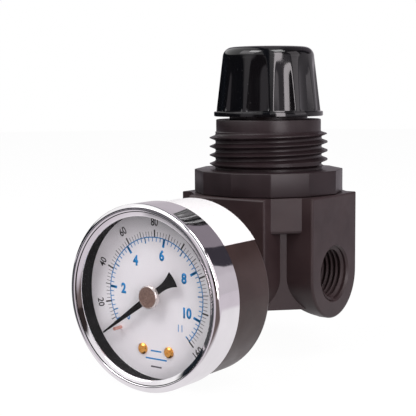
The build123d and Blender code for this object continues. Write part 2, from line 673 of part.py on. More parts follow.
def gauge_socket():
    """Brass stem: port thread, spanner square and the block that carries the works."""
    start = PORT_END + 0.4
    thread_r = PORT_R - FIT
    neck_end = BLOCK_BACK
    stem = turned(
        (0, start), (thread_r - 0.8, start), (thread_r, start + 0.8), (thread_r, PORT_FACE),
        (STEM_NECK_R, PORT_FACE), (STEM_NECK_R, neck_end), (0, neck_end))
    square = extrude(Pos(0, 0, PORT_FACE + SQUARE_START) * Rectangle(GAUGE_SQUARE, GAUGE_SQUARE), amount=SQUARE_L)
    square = chamfer(square.edges().filter_by(Axis.Z), 0.8)
    block = Pos(0, (BLOCK_UP - BLOCK_DOWN) / 2, BLOCK_BACK) * Box(BLOCK_W, BLOCK_UP + BLOCK_DOWN, BLOCK_T, align=FLOOR)
    air = disc(AIR_R, start - 1, TUBE_S)
    rise = Pos(0, 0, TUBE_S) * Rot(90, 0, 0) * Cylinder(AIR_R / 2, TUBE_BEND_R, align=FLOOR)
    solid = stem + square + block - air - rise
    solid -= swept(tube_outline(FIT), 180, 225)
    for x, y in MOVEMENT_SCREWS:
        solid -= disc(PIVOT_R + FIT, BLOCK_FRONT - 3, BLOCK_FRONT + 1, (x, y))
    return on_gauge(solid)


def gauge_case():
    """Drawn cup of the gauge."""
    hole = STEM_NECK_R + FIT
    cup = turned((hole, CASE_BACK), (CASE_R, CASE_BACK), (CASE_R, CASE_RIM), (CASE_IN_R, CASE_RIM),
                 (CASE_IN_R, BLOCK_BACK), (hole, BLOCK_BACK))
    rear = cup.edges().group_by(Axis.Z)[0].sort_by(SortBy.RADIUS)[-1]
    return on_gauge(fillet(rear, CASE_EDGE))


def gauge_bezel():
    """Chrome ring: skirt over the case, rounded shoulder and lip over the window."""
    inner = CASE_R + FIT
    start = BEZEL_FRONT - BEZEL_L
    shoulder = BEZEL_R - BEZEL_ROUND
    mid = BEZEL_ROUND * (1 - sqrt(0.5))
    edge = BEZEL_LIP / 3
    edges = [
        Polyline((inner, start), (BEZEL_R, start), (BEZEL_R, BEZEL_FRONT - BEZEL_ROUND)),
        ThreePointArc((BEZEL_R, BEZEL_FRONT - BEZEL_ROUND), (BEZEL_R - mid, BEZEL_FRONT - mid),
                      (shoulder, BEZEL_FRONT)),
        Polyline((shoulder, BEZEL_FRONT), (BEZEL_OPENING + edge, BEZEL_FRONT),
                 (BEZEL_OPENING, BEZEL_FRONT - edge), (BEZEL_OPENING, LIP_BACK), (inner, LIP_BACK),
                 (inner, start))]
    return on_gauge(revolve(Plane.XZ * make_face(edges), Axis.Z))


def gauge_window():
    """Clear disc behind the lip."""
    return on_gauge(disc(CASE_R - 0.1, GASKET_FRONT, WINDOW_FRONT))


def window_gasket():
    """Black ring between the window, the case rim and the edge of the dial."""
    step = CASE_RIM + SEAM / 2
    ring = turned(
        (GASKET_R, DIAL_FACE + 0.03), (GASKET_R + GASKET_W, DIAL_FACE + 0.03), (GASKET_R + GASKET_W, step),
        (CASE_R - 0.1, step), (CASE_R - 0.1, GASKET_FRONT), (GASKET_R, GASKET_FRONT))
    return on_gauge(ring)


def dial():
    """Printed disc, held by two screws."""
    face = disc(DIAL_R, DIAL_FACE - DIAL_T, DIAL_FACE)
    face -= disc(SHAFT_R + 0.4, 0, DIAL_FACE + 1)
    for side in (-1, 1):
        spot = (side * DIAL_SCREW[0], DIAL_SCREW[1])
        face -= disc(DIAL_SCREW_R + FIT, 0, DIAL_FACE + 1, spot)
    return on_gauge(face)


def dial_screws():
    """Two slotted screws at the foot of the dial."""
    head = turned((0, DIAL_FACE), (DIAL_HEAD_R, DIAL_FACE), (DIAL_HEAD_R, DIAL_FACE + DIAL_HEAD_T / 2),
                  (DIAL_HEAD_R * 0.7, DIAL_FACE + DIAL_HEAD_T), (0, DIAL_FACE + DIAL_HEAD_T))
    head -= Pos(0, 0, DIAL_FACE + DIAL_HEAD_T / 2) * Rot(0, 0, 35) * Box(4, DIAL_SLOT, 1, align=FLOOR)
    screw = head + disc(DIAL_SCREW_R, FRONT_PLATE, DIAL_FACE)
    pair = [Pos(side * DIAL_SCREW[0], DIAL_SCREW[1], 0) * screw for side in (-1, 1)]
    return on_gauge(Compound(children=pair))


def stop_pin():
    """Pin in the dial that the pointer rests against."""
    return on_gauge(disc(STOP_R, DIAL_FACE, DIAL_FACE + STOP_H, clock(STOP_RADIUS, STOP_CLOCK)))


def bourdon_tube():
    """Flattened tube bent into a C, fed at the block and shut at the tip."""
    skin = tube_outline() - tube_outline(-TUBE_SKIN)
    return on_gauge(swept(skin, TUBE_FROM, TUBE_TO))


def bourdon_tip():
    """End piece over the tube, with the pin that pulls the link."""
    radial = TUBE_FLAT + 2 * TIP_WALL + 2 * FIT
    tall = TUBE_TALL + 2 * TIP_WALL + 2 * FIT
    block = swept(Pos(TUBE_BEND_R, TUBE_S) * Rectangle(radial, tall), TIP_FROM, TIP_TO)
    block -= swept(tube_outline(FIT), TIP_FROM - 3, TUBE_TO + 0.3)
    pin = disc(PIN_R, TUBE_S + tall / 2 - 0.1, LINK_S + LINK_T + 0.3, TIP_PIN)
    return on_gauge(block + pin)


def link():
    """Flat link from the tube's tip to the sector's tail."""
    run = Vector(TIP_PIN[0] - TAIL_PIN[0], TIP_PIN[1] - TAIL_PIN[1])
    angle = Vector(1, 0, 0).get_signed_angle(run, Vector(0, 0, 1))
    bar = Pos(run.length / 2, 0) * Rectangle(run.length, LINK_W)
    outline = bar + Circle(LINK_EYE_R) + Pos(run.length, 0) * Circle(LINK_EYE_R)
    outline -= Circle(PIN_R + LINK_PLAY)
    outline -= Pos(run.length, 0) * Circle(PIN_R + OPEN_PLAY)
    strip = extrude(outline, amount=LINK_T)
    return on_gauge(Pos(TAIL_PIN[0], TAIL_PIN[1], LINK_S) * Rot(0, 0, angle) * strip)


def tooth(pitch_r):
    """One thin straight-sided tooth outline on +Y."""
    top = pitch_r + 0.8 * MODULE
    root = pitch_r - 1.2 * MODULE - 0.05
    wide = 0.85 * MODULE
    tip = 0.3 * MODULE
    return Polygon((-wide, root), (wide, root), (tip, top), (-tip, top), align=None)


def sector_outline():
    """Toothed rim, two arms and the tail, with the pivot at the origin."""
    root = SECTOR_PITCH_R - 1.2 * MODULE
    half = (SECTOR_HALF_COUNT + 0.6) * 360 / SECTOR_TEETH
    reach = 2 * SECTOR_PITCH_R
    wedge = Polygon((0, 0), clock(reach, half), clock(reach, -half), align=None)
    outline = (Circle(root) - Circle(root - SECTOR_RIM)) & wedge
    for index in range(-SECTOR_HALF_COUNT, SECTOR_HALF_COUNT + 1):
        outline += Rot(0, 0, index * 360 / SECTOR_TEETH) * tooth(SECTOR_PITCH_R)
    arm = Pos(0, root / 2) * Rectangle(SECTOR_ARM, root - SECTOR_RIM / 2)
    for side in (-1, 1):
        outline += Rot(0, 0, side * (half - 5)) * arm
    outline += Circle(2 * ARBOR_R)
    return outline


def sector_gear():
    """Toothed sector on its arbor; the tail carries the link's pin."""
    tail = Pos(0, TAIL_ARM / 2) * Rectangle(SECTOR_ARM, TAIL_ARM) + Pos(0, TAIL_ARM) * Circle(LINK_EYE_R)
    outline = Rot(0, 0, -SECTOR_CLOCK) * sector_outline() + Rot(0, 0, -TAIL_CLOCK) * tail
    gear = extrude(Pos(0, 0, SECTOR_S) * outline, amount=SECTOR_T)
    gear += disc(ARBOR_R, BACK_PLATE + PLATE_GAUGE_T + 0.1, FRONT_PLATE - 0.1)
    gear += disc(PIVOT_R, BACK_PLATE + 0.1, FRONT_PLATE + PLATE_GAUGE_T - 0.1)
    gear += disc(PIN_R, LINK_S - 0.1, SECTOR_S + 0.1, TAIL_END)
    return on_gauge(Pos(SECTOR_PIVOT[0], SECTOR_PIVOT[1], 0) * gear)


def pinion_shaft():
    """Pinion and the long shaft that carries the pointer."""
    outline = Circle(PINION_PITCH_R - 1.2 * MODULE)
    for index in range(PINION_TEETH):
        outline += Rot(0, 0, (index + 0.5) * 360 / PINION_TEETH) * tooth(PINION_PITCH_R)
    shaft = extrude(Pos(0, 0, SECTOR_S - 0.2) * outline, amount=SECTOR_T + 0.4)
    shaft += disc(PIVOT_R, BACK_PLATE + 0.1, SECTOR_S)
    shaft += disc(SHAFT_R, BACK_PLATE + PLATE_GAUGE_T + 0.1, POINTER_S + POINTER_T + HUB_T - 0.3)
    return on_gauge(shaft)


def hairspring():
    """Flat spiral from the pinion shaft out to one pillar."""
    start = SHAFT_R + FIT + HAIR_T / 2
    end = sqrt(PILLARS[0][0] ** 2 + PILLARS[0][1] ** 2) - PILLAR_R - FIT
    step = (end - start) / (2 * HAIR_TURNS)
    edges = []
    tips = []
    for side in (-HAIR_T / 2, HAIR_T / 2):
        for half_turn in range(2 * HAIR_TURNS):
            lower = half_turn % 2
            centre = step * lower
            radius = start + step * half_turn + side
            sign = -1 if lower else 1
            first = (centre + sign * radius, 0)
            last = (centre - sign * radius, 0)
            edges.append(ThreePointArc(first, (centre, sign * radius), last))
        tips.append(((start + side, 0), last))
    edges.append(Line(tips[0][0], tips[1][0]))
    edges.append(Line(tips[0][1], tips[1][1]))
    strip = extrude(Pos(0, 0, SECTOR_S + SECTOR_T + 0.5) * make_face(edges), amount=HAIR_H)
    return on_gauge(Rot(0, 0, 136.6) * strip)


def movement_plate(low):
    """One rounded plate of the movement with its pillar and screw holes."""
    height = MOVEMENT_UP + MOVEMENT_DOWN
    outline = Pos(0, (MOVEMENT_UP - MOVEMENT_DOWN) / 2) * RectangleRounded(MOVEMENT_W, height, MOVEMENT_CORNER)
    for x, y in PILLARS:
        outline -= Pos(x, y) * Circle(PILLAR_STUB_R + FIT / 2)
    outline -= Pos(*SECTOR_PIVOT) * Circle(PIVOT_R + RUN)
    return extrude(Pos(0, 0, low) * outline, amount=PLATE_GAUGE_T)


def movement_back_plate():
    """Rear plate, screwed to the block."""
    plate = movement_plate(BACK_PLATE) - disc(PIVOT_R + RUN, 0, FRONT_PLATE)
    for x, y in MOVEMENT_SCREWS:
        plate -= disc(PIVOT_R + FIT, 0, FRONT_PLATE, (x, y))
    return on_gauge(plate)


def movement_front_plate():
    """Front plate, which also carries the dial."""
    plate = movement_plate(FRONT_PLATE) - disc(SHAFT_R + RUN, 0, DIAL_FACE)
    for side in (-1, 1):
        spot = (side * DIAL_SCREW[0], DIAL_SCREW[1])
        plate -= disc(DIAL_SCREW_R + FIT, 0, DIAL_FACE, spot)
    return on_gauge(plate)


def movement_pillars():
    """Four shouldered pillars riveted through both plates."""
    low = BACK_PLATE + PLATE_GAUGE_T
    pillar = disc(PILLAR_R, low, FRONT_PLATE)
    pillar += disc(PILLAR_STUB_R, BACK_PLATE, FRONT_PLATE + PLATE_GAUGE_T)
    return on_gauge(Compound(children=[Pos(x, y, 0) * pillar for x, y in PILLARS]))


def movement_screws():
    """Two screws through the rear plate into the block."""
    top = BACK_PLATE + PLATE_GAUGE_T
    screw = disc(PIVOT_R, BLOCK_FRONT - 2.8, top) + disc(2 * PIVOT_R, top, top + 0.4)
    return on_gauge(Compound(children=[Pos(x, y, 0) * screw for x, y in MOVEMENT_SCREWS]))


def pointer():
    """Black pointer with a long taper and a flared tail."""
    flare = POINTER_TAIL * tan(radians(POINTER_TAIL_HALF))
    waist = -HUB_R - 0.2
    half = [
        Polyline((0.15, POINTER_TIP), (POINTER_W, HUB_R), (POINTER_W, waist)),
        ThreePointArc((POINTER_W, waist), (POINTER_W + 0.25, -0.7 * POINTER_TAIL), (flare, -POINTER_TAIL + 0.2)),
        ThreePointArc((flare, -POINTER_TAIL + 0.2), (0, -POINTER_TAIL), (-flare, -POINTER_TAIL + 0.2)),
        ThreePointArc((-flare, -POINTER_TAIL + 0.2), (-POINTER_W - 0.25, -0.7 * POINTER_TAIL), (-POINTER_W, waist)),
        Polyline((-POINTER_W, waist), (-POINTER_W, HUB_R), (-0.15, POINTER_TIP), (0.15, POINTER_TIP))]
    outline = make_face(half) + Circle(BUSH_R + 0.4)
    blade = extrude(outline, amount=POINTER_T) - disc(SHAFT_R + 0.02, -1, 1)
    return on_gauge(Pos(0, 0, POINTER_S) * Rot(0, 0, -POINTER_CLOCK) * blade)


def pointer_hub():
    """Round cap over the pointer with its bush behind."""
    bore = SHAFT_R + 0.02
    front = POINTER_S + POINTER_T + HUB_T
    cap = turned((0, POINTER_S + POINTER_T), (HUB_R, POINTER_S + POINTER_T), (HUB_R, front - 0.2),
                 (HUB_R - 0.2, front), (0, front))
    cap -= disc(bore, 0, front - 0.25)
    bush = disc(BUSH_R, POINTER_S - 1, POINTER_S) - disc(bore, 0, front)
    return on_gauge(Compound(children=[cap, bush]))


PARTS = [
    body, pickup_tube, rear_port_plug, bonnet, detent_ring, slip_ring, diaphragm, diaphragm_plate,
    relief_seat, control_spring, spring_button, adjusting_screw, thrust_washer, knob, stem_guide,
    valve_poppet, valve_rubber, valve_spring, valve_cap, valve_cap_oring, gauge_socket, gauge_case,
    gauge_bezel, gauge_window, window_gasket, dial, dial_screws, stop_pin, bourdon_tube, bourdon_tip,
    link, sector_gear, pinion_shaft, hairspring, movement_back_plate, movement_front_plate,
    movement_pillars, movement_screws, pointer, pointer_hub]

os.makedirs("parts", exist_ok=True)
for make in PARTS:
    export_step(make(), os.path.join("parts", make.__name__ + ".step"))
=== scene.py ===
"""Looks of the miniature air pressure regulator: finishes, threads, dial print, label, light and camera."""
import math

import bpy
from mathutils import Matrix, Vector

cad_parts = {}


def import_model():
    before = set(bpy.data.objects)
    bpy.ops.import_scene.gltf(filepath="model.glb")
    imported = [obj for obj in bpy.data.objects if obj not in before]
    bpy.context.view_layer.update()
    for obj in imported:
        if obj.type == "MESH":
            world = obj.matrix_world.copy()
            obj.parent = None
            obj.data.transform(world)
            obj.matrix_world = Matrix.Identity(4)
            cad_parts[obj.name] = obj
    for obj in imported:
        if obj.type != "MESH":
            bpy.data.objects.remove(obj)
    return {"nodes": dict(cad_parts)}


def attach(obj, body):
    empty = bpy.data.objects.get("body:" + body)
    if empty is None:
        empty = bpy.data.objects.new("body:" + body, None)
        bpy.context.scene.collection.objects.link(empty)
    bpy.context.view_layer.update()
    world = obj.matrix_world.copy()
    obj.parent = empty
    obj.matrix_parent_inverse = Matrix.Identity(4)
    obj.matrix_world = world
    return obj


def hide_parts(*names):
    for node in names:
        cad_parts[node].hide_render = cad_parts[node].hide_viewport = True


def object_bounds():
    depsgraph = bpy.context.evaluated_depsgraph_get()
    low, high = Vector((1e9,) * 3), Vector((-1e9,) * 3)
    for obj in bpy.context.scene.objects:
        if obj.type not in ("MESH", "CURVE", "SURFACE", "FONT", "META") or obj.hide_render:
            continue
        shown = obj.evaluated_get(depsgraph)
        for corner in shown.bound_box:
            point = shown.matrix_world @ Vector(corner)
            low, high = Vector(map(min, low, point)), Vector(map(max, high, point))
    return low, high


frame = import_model()
cad_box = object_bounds()

MM = 0.001

# Neck and flange, in millimetres
PORT_Z = -25.4
FLANGE_R = 18.9
FLANGE_T = 5.8
FLANGE_TURN = 4.0
NECK_R = 15.0
NECK_H = 9.4
ROOT_R = 13.5
PITCH = 2.2
COLLAR_R = 13.3
COLLAR_TOP = 12.6
TUBE_R = 9.9
TUBE_TOP = 19.0
CREST_CLOCK = 215.7       # a crest passes this angle from +X at CREST_Z
CREST_Z = 7.94
CAVITY_R = 10.4
CAVITY_TOP = 10.6
SPIGOT_R = 15.25
SPIGOT_LOW = -8.1

# Knob
KNOB_LOW = 13.37
RIM_TOP = 14.56
KNOB_TOP = 30.72
KNOB_RIM_R = 13.82
KNOB_BASE_R = 13.2
KNOB_CROWN_R = 11.25
KNOB_EDGE = 2.5
KNOB_BORE_R = 10.4
KNOB_CEILING = 28.12
FLUTES = 12
FLUTE_TURN = -54.3
FLUTE_R = 7.2
FLUTE_AXIS = 19.5         # from the knob's axis at FLUTE_LOW
FLUTE_LOW = 14.9
FLUTE_LEAN = 0.087
FLUTE_FADE = 23.5         # the scallops run out between these two heights
FLUTE_TOP = 29.0
BOSS_R = 6.34
SOCKET_AF = 7.1
SOCKET_TOP = 24.3

# Port threads
PORT_R = 6.6
PORT_MINOR_R = 5.85
PORT_PITCH = 1.34
PORT_FACE = 19.4
PORT_END = 8.6

# Gauge
DIAL_FACE = 47.0
CASE_R = 20.45
CASE_BACK = 31.2
BEZEL_BACK = 44.45
BEZEL_FRONT = 52.2
BEZEL_R = 21.0
BEZEL_OPENING = 18.2
GROOVE_R = 19.3
LIP_BACK = 51.2
ARC_R = 13.1
SCALE_START = -135.0
SCALE_SWEEP = 270.0
PSI_FULL = 160
BAR_STEP = 24.5
PRINT = 0.02
LABEL_FROM = 55.0         # clock angle seen from the front, first edge
LABEL_SWEEP = 250.0

# Camera, fitted to the photograph
CAMERA_AZIMUTH = 35.68
CAMERA_ELEVATION = 6.32
CAMERA_ROLL = -0.44
CAMERA_DISTANCE = 275.56
CAMERA_SHIFT = (-15.45, -10.15)
FOCAL_PIXELS = 1078.18
FRAME_PIXELS = 416.0

GAUGE_PLACE = Matrix.Translation((0, 0, PORT_Z * MM)) @ Matrix.Rotation(math.radians(90), 4, "X")


# Shader expressions

class Wire:
    """A shader output that takes part in sums; each operator adds a Math node."""

    def __init__(self, finish, socket):
        self.finish = finish
        self.socket = socket

    def math(self, operation, first, second=0.0):
        return self.finish.add("ShaderNodeMath", {"operation": operation}, {0: first, 1: second})

    def __add__(self, other):
        return self.math("ADD", self, other)

    def __radd__(self, other):
        return self.math("ADD", other, self)

    def __sub__(self, other):
        return self.math("SUBTRACT", self, other)

    def __rsub__(self, other):
        return self.math("SUBTRACT", other, self)

    def __mul__(self, other):
        return self.math("MULTIPLY", self, other)

    def __rmul__(self, other):
        return self.math("MULTIPLY", other, self)

    def __pow__(self, other):
        return self.math("POWER", self, other)

    def __gt__(self, other):
        return self.math("GREATER_THAN", self, other)


class Sheet:
    """A node tree being drawn."""

    def __init__(self, tree):
        self.tree = tree

    def add(self, kind, settings=None, sockets=None, output=0):
        node = self.tree.nodes.new(kind)
        for key, value in (settings or {}).items():
            if key == "stops":
                for element, (place, colour) in zip(node.color_ramp.elements, value):
                    element.position = place
                    element.color = colour
            else:
                setattr(node, key, value)
        for key, value in (sockets or {}).items():
            self.feed(node.inputs[key], value)
        return Wire(self, node.outputs[output])

    def feed(self, socket, value):
        if isinstance(value, Wire):
            self.tree.links.new(value.socket, socket)
        else:
            socket.default_value = value

    def span(self, wire, low, high, out_low=0.0, out_high=1.0):
        sockets = {"Value": wire, "From Min": low, "From Max": high, "To Min": out_low, "To Max": out_high}
        return self.add("ShaderNodeMapRange", None, sockets)

    def bands(self, wire, stops):
        """Flat bands of colour along a value that runs from -1 to 1; each stop is where one begins."""
        ramp = self.tree.nodes.new("ShaderNodeValToRGB")
        ramp.color_ramp.interpolation = "CONSTANT"
        self.feed(ramp.inputs[0], self.span(wire, -1, 1))
        while len(ramp.color_ramp.elements) < len(stops):
            ramp.color_ramp.elements.new(0.5)
        for element, (place, colour) in zip(ramp.color_ramp.elements, sorted(stops)):
            element.position = place
            element.color = colour
        return Wire(self, ramp.outputs[0])

    def mix(self, factor, first, second):
        return self.add("ShaderNodeMix", {"data_type": "RGBA"}, {0: factor, 6: first, 7: second}, output=2)


class Finish(Sheet):
    """A material being made: its nodes and the shader that they feed."""

    def __init__(self, name, **constants):
        self.material = bpy.data.materials.new(name)
        self.material.use_nodes = True
        super().__init__(self.material.node_tree)
        self.shader = self.tree.nodes["Principled BSDF"]
        for socket, value in constants.items():
            self.shader.inputs[socket.replace("_", " ")].default_value = value

    def place(self, stretch=(1, 1, 1)):
        spot = self.add("ShaderNodeTexCoord", output=3)
        if stretch == (1, 1, 1):
            return spot
        return self.add("ShaderNodeMapping", None, {"Vector": spot, "Scale": stretch})

    def noise(self, grain, detail=3.0, roughness=0.5, stretch=(1, 1, 1)):
        """Noise whose blobs are about that many millimetres across."""
        sockets = {"Vector": self.place(stretch), "Scale": 1 / (grain * MM), "Detail": detail, "Roughness": roughness}
        return self.add("ShaderNodeTexNoise", None, sockets)

    def colour(self, value):
        self.feed(self.shader.inputs["Base Color"], value)

    def roughness(self, value):
        self.feed(self.shader.inputs["Roughness"], value)

    def from_gauge_axis(self):
        """Distance from the gauge's axis, in metres."""
        flat = self.add("ShaderNodeVectorMath", {"operation": "MULTIPLY"}, {0: self.place(), 1: (1, 0, 1)})
        return self.add("ShaderNodeVectorMath", {"operation": "DISTANCE"}, {0: flat, 1: (0, 0, PORT_Z * MM)}, output=1)

    def bump(self, height, depth, strength=0.5):
        """Relief of about that many millimetres."""
        sockets = {"Strength": strength, "Distance": depth * MM, "Height": height}
        self.feed(self.shader.inputs["Normal"], self.add("ShaderNodeBump", None, sockets))


def rgb(red, green, blue):
    return (red, green, blue, 1.0)


def cast_coat(name, dark, light, roughness, grain=0.35, relief=0.012):
    """Sprayed black coat: soft mottling, a fine orange peel and a few duller patches."""
    finish = Finish(name, Specular_IOR_Level=0.35)
    patches = finish.noise(9.0, 3.0)
    peel = finish.noise(grain, 2.0)
    finish.colour(finish.mix(finish.span(patches, 0.35, 0.65), dark, light))
    finish.roughness(finish.span(finish.noise(4.0, 4.0), 0.3, 0.7, roughness - 0.06, roughness + 0.07))
    finish.bump(peel, relief, 0.6)
    return finish.material


def moulded(name, dark, light, roughness, relief=0.006, gloss=0.4):
    """Moulded plastic: fine spark grain with soft flow marks."""
    finish = Finish(name, Specular_IOR_Level=gloss)
    flow = finish.noise(6.0, 3.0, stretch=(1, 1, 0.35))
    grain = finish.noise(0.18, 2.0)
    finish.colour(finish.mix(finish.span(flow, 0.3, 0.7), dark, light))
    finish.roughness(finish.span(flow, 0.3, 0.7, roughness - 0.05, roughness + 0.06))
    finish.bump(grain, relief, 0.5)
    return finish.material


def polished_plastic(name):
    """Glossy black: faint handling haze and a few dust specks."""
    finish = Finish(name, IOR=1.5)
    haze = finish.noise(5.0, 5.0, 0.6)
    specks = finish.noise(0.5, 1.0) > 0.77
    finish.colour(finish.mix(specks * 0.5, rgb(0.0035, 0.0033, 0.004), rgb(0.06, 0.055, 0.06)))
    finish.roughness(finish.span(haze, 0.3, 0.7, 0.07, 0.13) + specks * 0.2)
    finish.bump(finish.noise(2.5, 2.0), 0.004, 0.25)
    return finish.material


def metal(name, colour, dull, roughness, grain=0.3, stretch=(1, 1, 1), relief=0.002):
    """Bare or plated metal with fine tooling lines and patches of tarnish."""
    finish = Finish(name, Metallic=1.0)
    lines = finish.noise(grain, 3.0, stretch=stretch)
    tarnish = finish.span(finish.noise(3.0, 4.0, 0.6), 0.45, 0.7)
    finish.colour(finish.mix(tarnish * 0.6, colour, dull))
    finish.roughness(finish.span(lines, 0.3, 0.7, roughness - 0.04, roughness + 0.06) + tarnish * 0.05)
    finish.bump(lines, relief, 0.4)
    return finish.material


def chrome(name):
    """Bright plating with barely visible polishing waves; painted shade darkens the fine groove."""
    finish = Finish(name, Metallic=1.0)
    waves = finish.noise(7.0, 2.0)
    plated = finish.mix(finish.span(waves, 0.3, 0.7), rgb(0.86, 0.84, 0.86), rgb(0.93, 0.91, 0.93))
    away = finish.from_gauge_axis()
    # Painted shade: a near-black ring coloured along the fine groove.
    groove = finish.span(away, (GROOVE_R - 0.12) * MM, (GROOVE_R - 0.08) * MM)
    groove = groove * finish.span(away, (GROOVE_R + 0.12) * MM, (GROOVE_R + 0.08) * MM)
    finish.colour(finish.mix(groove, plated, rgb(0.012, 0.012, 0.014)))
    finish.roughness(finish.span(finish.noise(1.2, 4.0), 0.3, 0.7, 0.04, 0.09))
    finish.bump(waves, 0.006, 0.25)
    return finish.material


def dial_white(name):
    """Printed enamel: cool white, a little uneven."""
    finish = Finish(name)
    cloud = finish.noise(8.0, 3.0)
    finish.colour(finish.mix(finish.span(cloud, 0.3, 0.7), rgb(0.86, 0.84, 0.87), rgb(0.91, 0.90, 0.93)))
    finish.roughness(finish.span(cloud, 0.3, 0.7, 0.38, 0.46))
    finish.bump(finish.noise(0.4, 2.0), 0.002, 0.3)
    return finish.material


def ink(name, strong, worn, grain=0.25):
    """Screen-printed ink with slightly uneven cover."""
    finish = Finish(name)
    cover = finish.noise(grain, 3.0)
    finish.colour(finish.mix(finish.span(cover, 0.45, 0.75), strong, worn))
    finish.roughness(finish.span(cover, 0.3, 0.7, 0.4, 0.5))
    return finish.material


def paper(name):
    """White label stock: faint fibres and a soft sheen."""
    finish = Finish(name)
    fibre = finish.noise(0.6, 5.0, 0.6)
    clean = finish.mix(finish.span(fibre, 0.35, 0.7), rgb(0.94, 0.94, 0.93), rgb(0.88, 0.88, 0.88))
    finish.colour(finish.mix((finish.noise(0.35, 1.0) > 0.70) * 0.35, clean, rgb(0.45, 0.40, 0.36)))
    finish.roughness(finish.span(fibre, 0.3, 0.7, 0.42, 0.5))
    finish.bump(fibre, 0.004, 0.3)
    return finish.material


def clear_window(name):
    """Clear plastic disc, nearly invisible, with a thin haze of wipe marks."""
    finish = Finish(name, IOR=1.49, Specular_IOR_Level=0.5)
    wipe = finish.noise(6.0, 4.0, stretch=(0.4, 1, 1.6))
    finish.colour(finish.mix(finish.span(wipe, 0.3, 0.7), rgb(0.16, 0.16, 0.17), rgb(0.30, 0.30, 0.32)))
    finish.roughness(finish.span(wipe, 0.3, 0.7, 0.03, 0.06))
    finish.feed(finish.shader.inputs["Alpha"], finish.span(wipe, 0.35, 0.7, 0.008, 0.022))
    return finish.material


def hub_metal(name):
    """Brown-nickel cap; its turned rim is painted lighter as a painted highlight, and is a little smoother."""
    finish = Finish(name, Metallic=0.5)
    away = finish.from_gauge_axis()
    # Painted highlight: the turned rim is coloured pale grey.
    rim_highlight = finish.span(away, 2.25 * MM, 2.45 * MM)
    stain = finish.span(finish.noise(0.8, 4.0, 0.6), 0.35, 0.7)
    face = finish.mix(stain, rgb(0.30, 0.20, 0.16), rgb(0.20, 0.125, 0.10))
    finish.colour(finish.mix(rim_highlight, face, rgb(0.72, 0.66, 0.64)))
    finish.roughness(finish.span(stain, 0, 1, 0.26, 0.38) - rim_highlight * 0.08)
    finish.bump(finish.noise(0.25, 2.0), 0.003, 0.3)
    return finish.material


def rubber(name):
    """Black rubber with a dry bloom."""
    finish = Finish(name, Specular_IOR_Level=0.18)
    bloom = finish.noise(1.5, 4.0)
    finish.colour(finish.mix(finish.span(bloom, 0.4, 0.7), rgb(0.003, 0.003, 0.003), rgb(0.007, 0.006, 0.007)))
    finish.roughness(finish.span(bloom, 0.3, 0.7, 0.5, 0.65))
    finish.bump(finish.noise(0.2, 2.0), 0.004, 0.4)
    return finish.material


# Modelling by hand: primitives shaped in edit mode

def deselect():
    if bpy.context.object and bpy.context.object.mode != "OBJECT":
        bpy.ops.object.mode_set(mode="OBJECT")
    bpy.ops.object.select_all(action="DESELECT")


def named(name):
    piece = bpy.context.active_object
    piece.name = name
    piece.data.name = name
    return piece


def select_where(piece, test):
    """Selects the vertices whose place passes the test, in millimetres."""
    bpy.ops.mesh.select_all(action="DESELECT")
    bpy.ops.object.mode_set(mode="OBJECT")
    for vertex in piece.data.vertices:
        vertex.select = test(vertex.co / MM)
    bpy.ops.object.mode_set(mode="EDIT")


def tidy_shell():
    """Merges doubles and turns all faces outwards, in edit mode."""
    bpy.ops.mesh.select_all(action="SELECT")
    bpy.ops.mesh.remove_doubles(threshold=0.002 * MM)
    bpy.ops.mesh.normals_make_consistent(inside=False)


def turned(name, corners, segments=192):
    """A closed ring of metal: a circle extruded from corner to corner, as on a lathe."""
    deselect()
    corners = [(max(corner[0], 0.0008), corner[1]) for corner in corners]
    radius, height = corners[0]
    bpy.ops.mesh.primitive_circle_add(vertices=segments, radius=radius * MM, enter_editmode=True)
    bpy.ops.transform.translate(value=(0, 0, height * MM))
    for next_radius, next_height in corners[1:] + corners[:1]:
        rise = (next_height - height) * MM
        bpy.ops.mesh.extrude_region_move(TRANSFORM_OT_translate={"value": (0, 0, rise)})
        scale = next_radius / radius
        bpy.ops.transform.resize(value=(scale, scale, 1), center_override=(0, 0, 0))
        radius, height = next_radius, next_height
    tidy_shell()
    bpy.ops.object.mode_set(mode="OBJECT")
    return named(name)


def settle(piece, place=None):
    """Moves a piece to its place and keeps the place in its mesh."""
    deselect()
    piece.select_set(True)
    bpy.context.view_layer.objects.active = piece
    if place is not None:
        piece.matrix_world = place @ piece.matrix_world
    bpy.ops.object.transform_apply(location=True, rotation=True, scale=True)
    return piece


def joined(name, pieces):
    deselect()
    for piece in pieces:
        piece.select_set(True)
    bpy.context.view_layer.objects.active = pieces[0]
    bpy.ops.object.join()
    return named(name)


def apply_modifier(piece, kind, **settings):
    deselect()
    bpy.context.view_layer.objects.active = piece
    piece.select_set(True)
    modifier = piece.modifiers.new(kind, kind)
    for key, value in settings.items():
        setattr(modifier, key, value)
    bpy.ops.object.modifier_apply(modifier=modifier.name)


def smooth(piece, degrees=30):
    deselect()
    piece.select_set(True)
    bpy.context.view_layer.objects.active = piece
    bpy.ops.object.shade_smooth_by_angle(angle=math.radians(degrees))


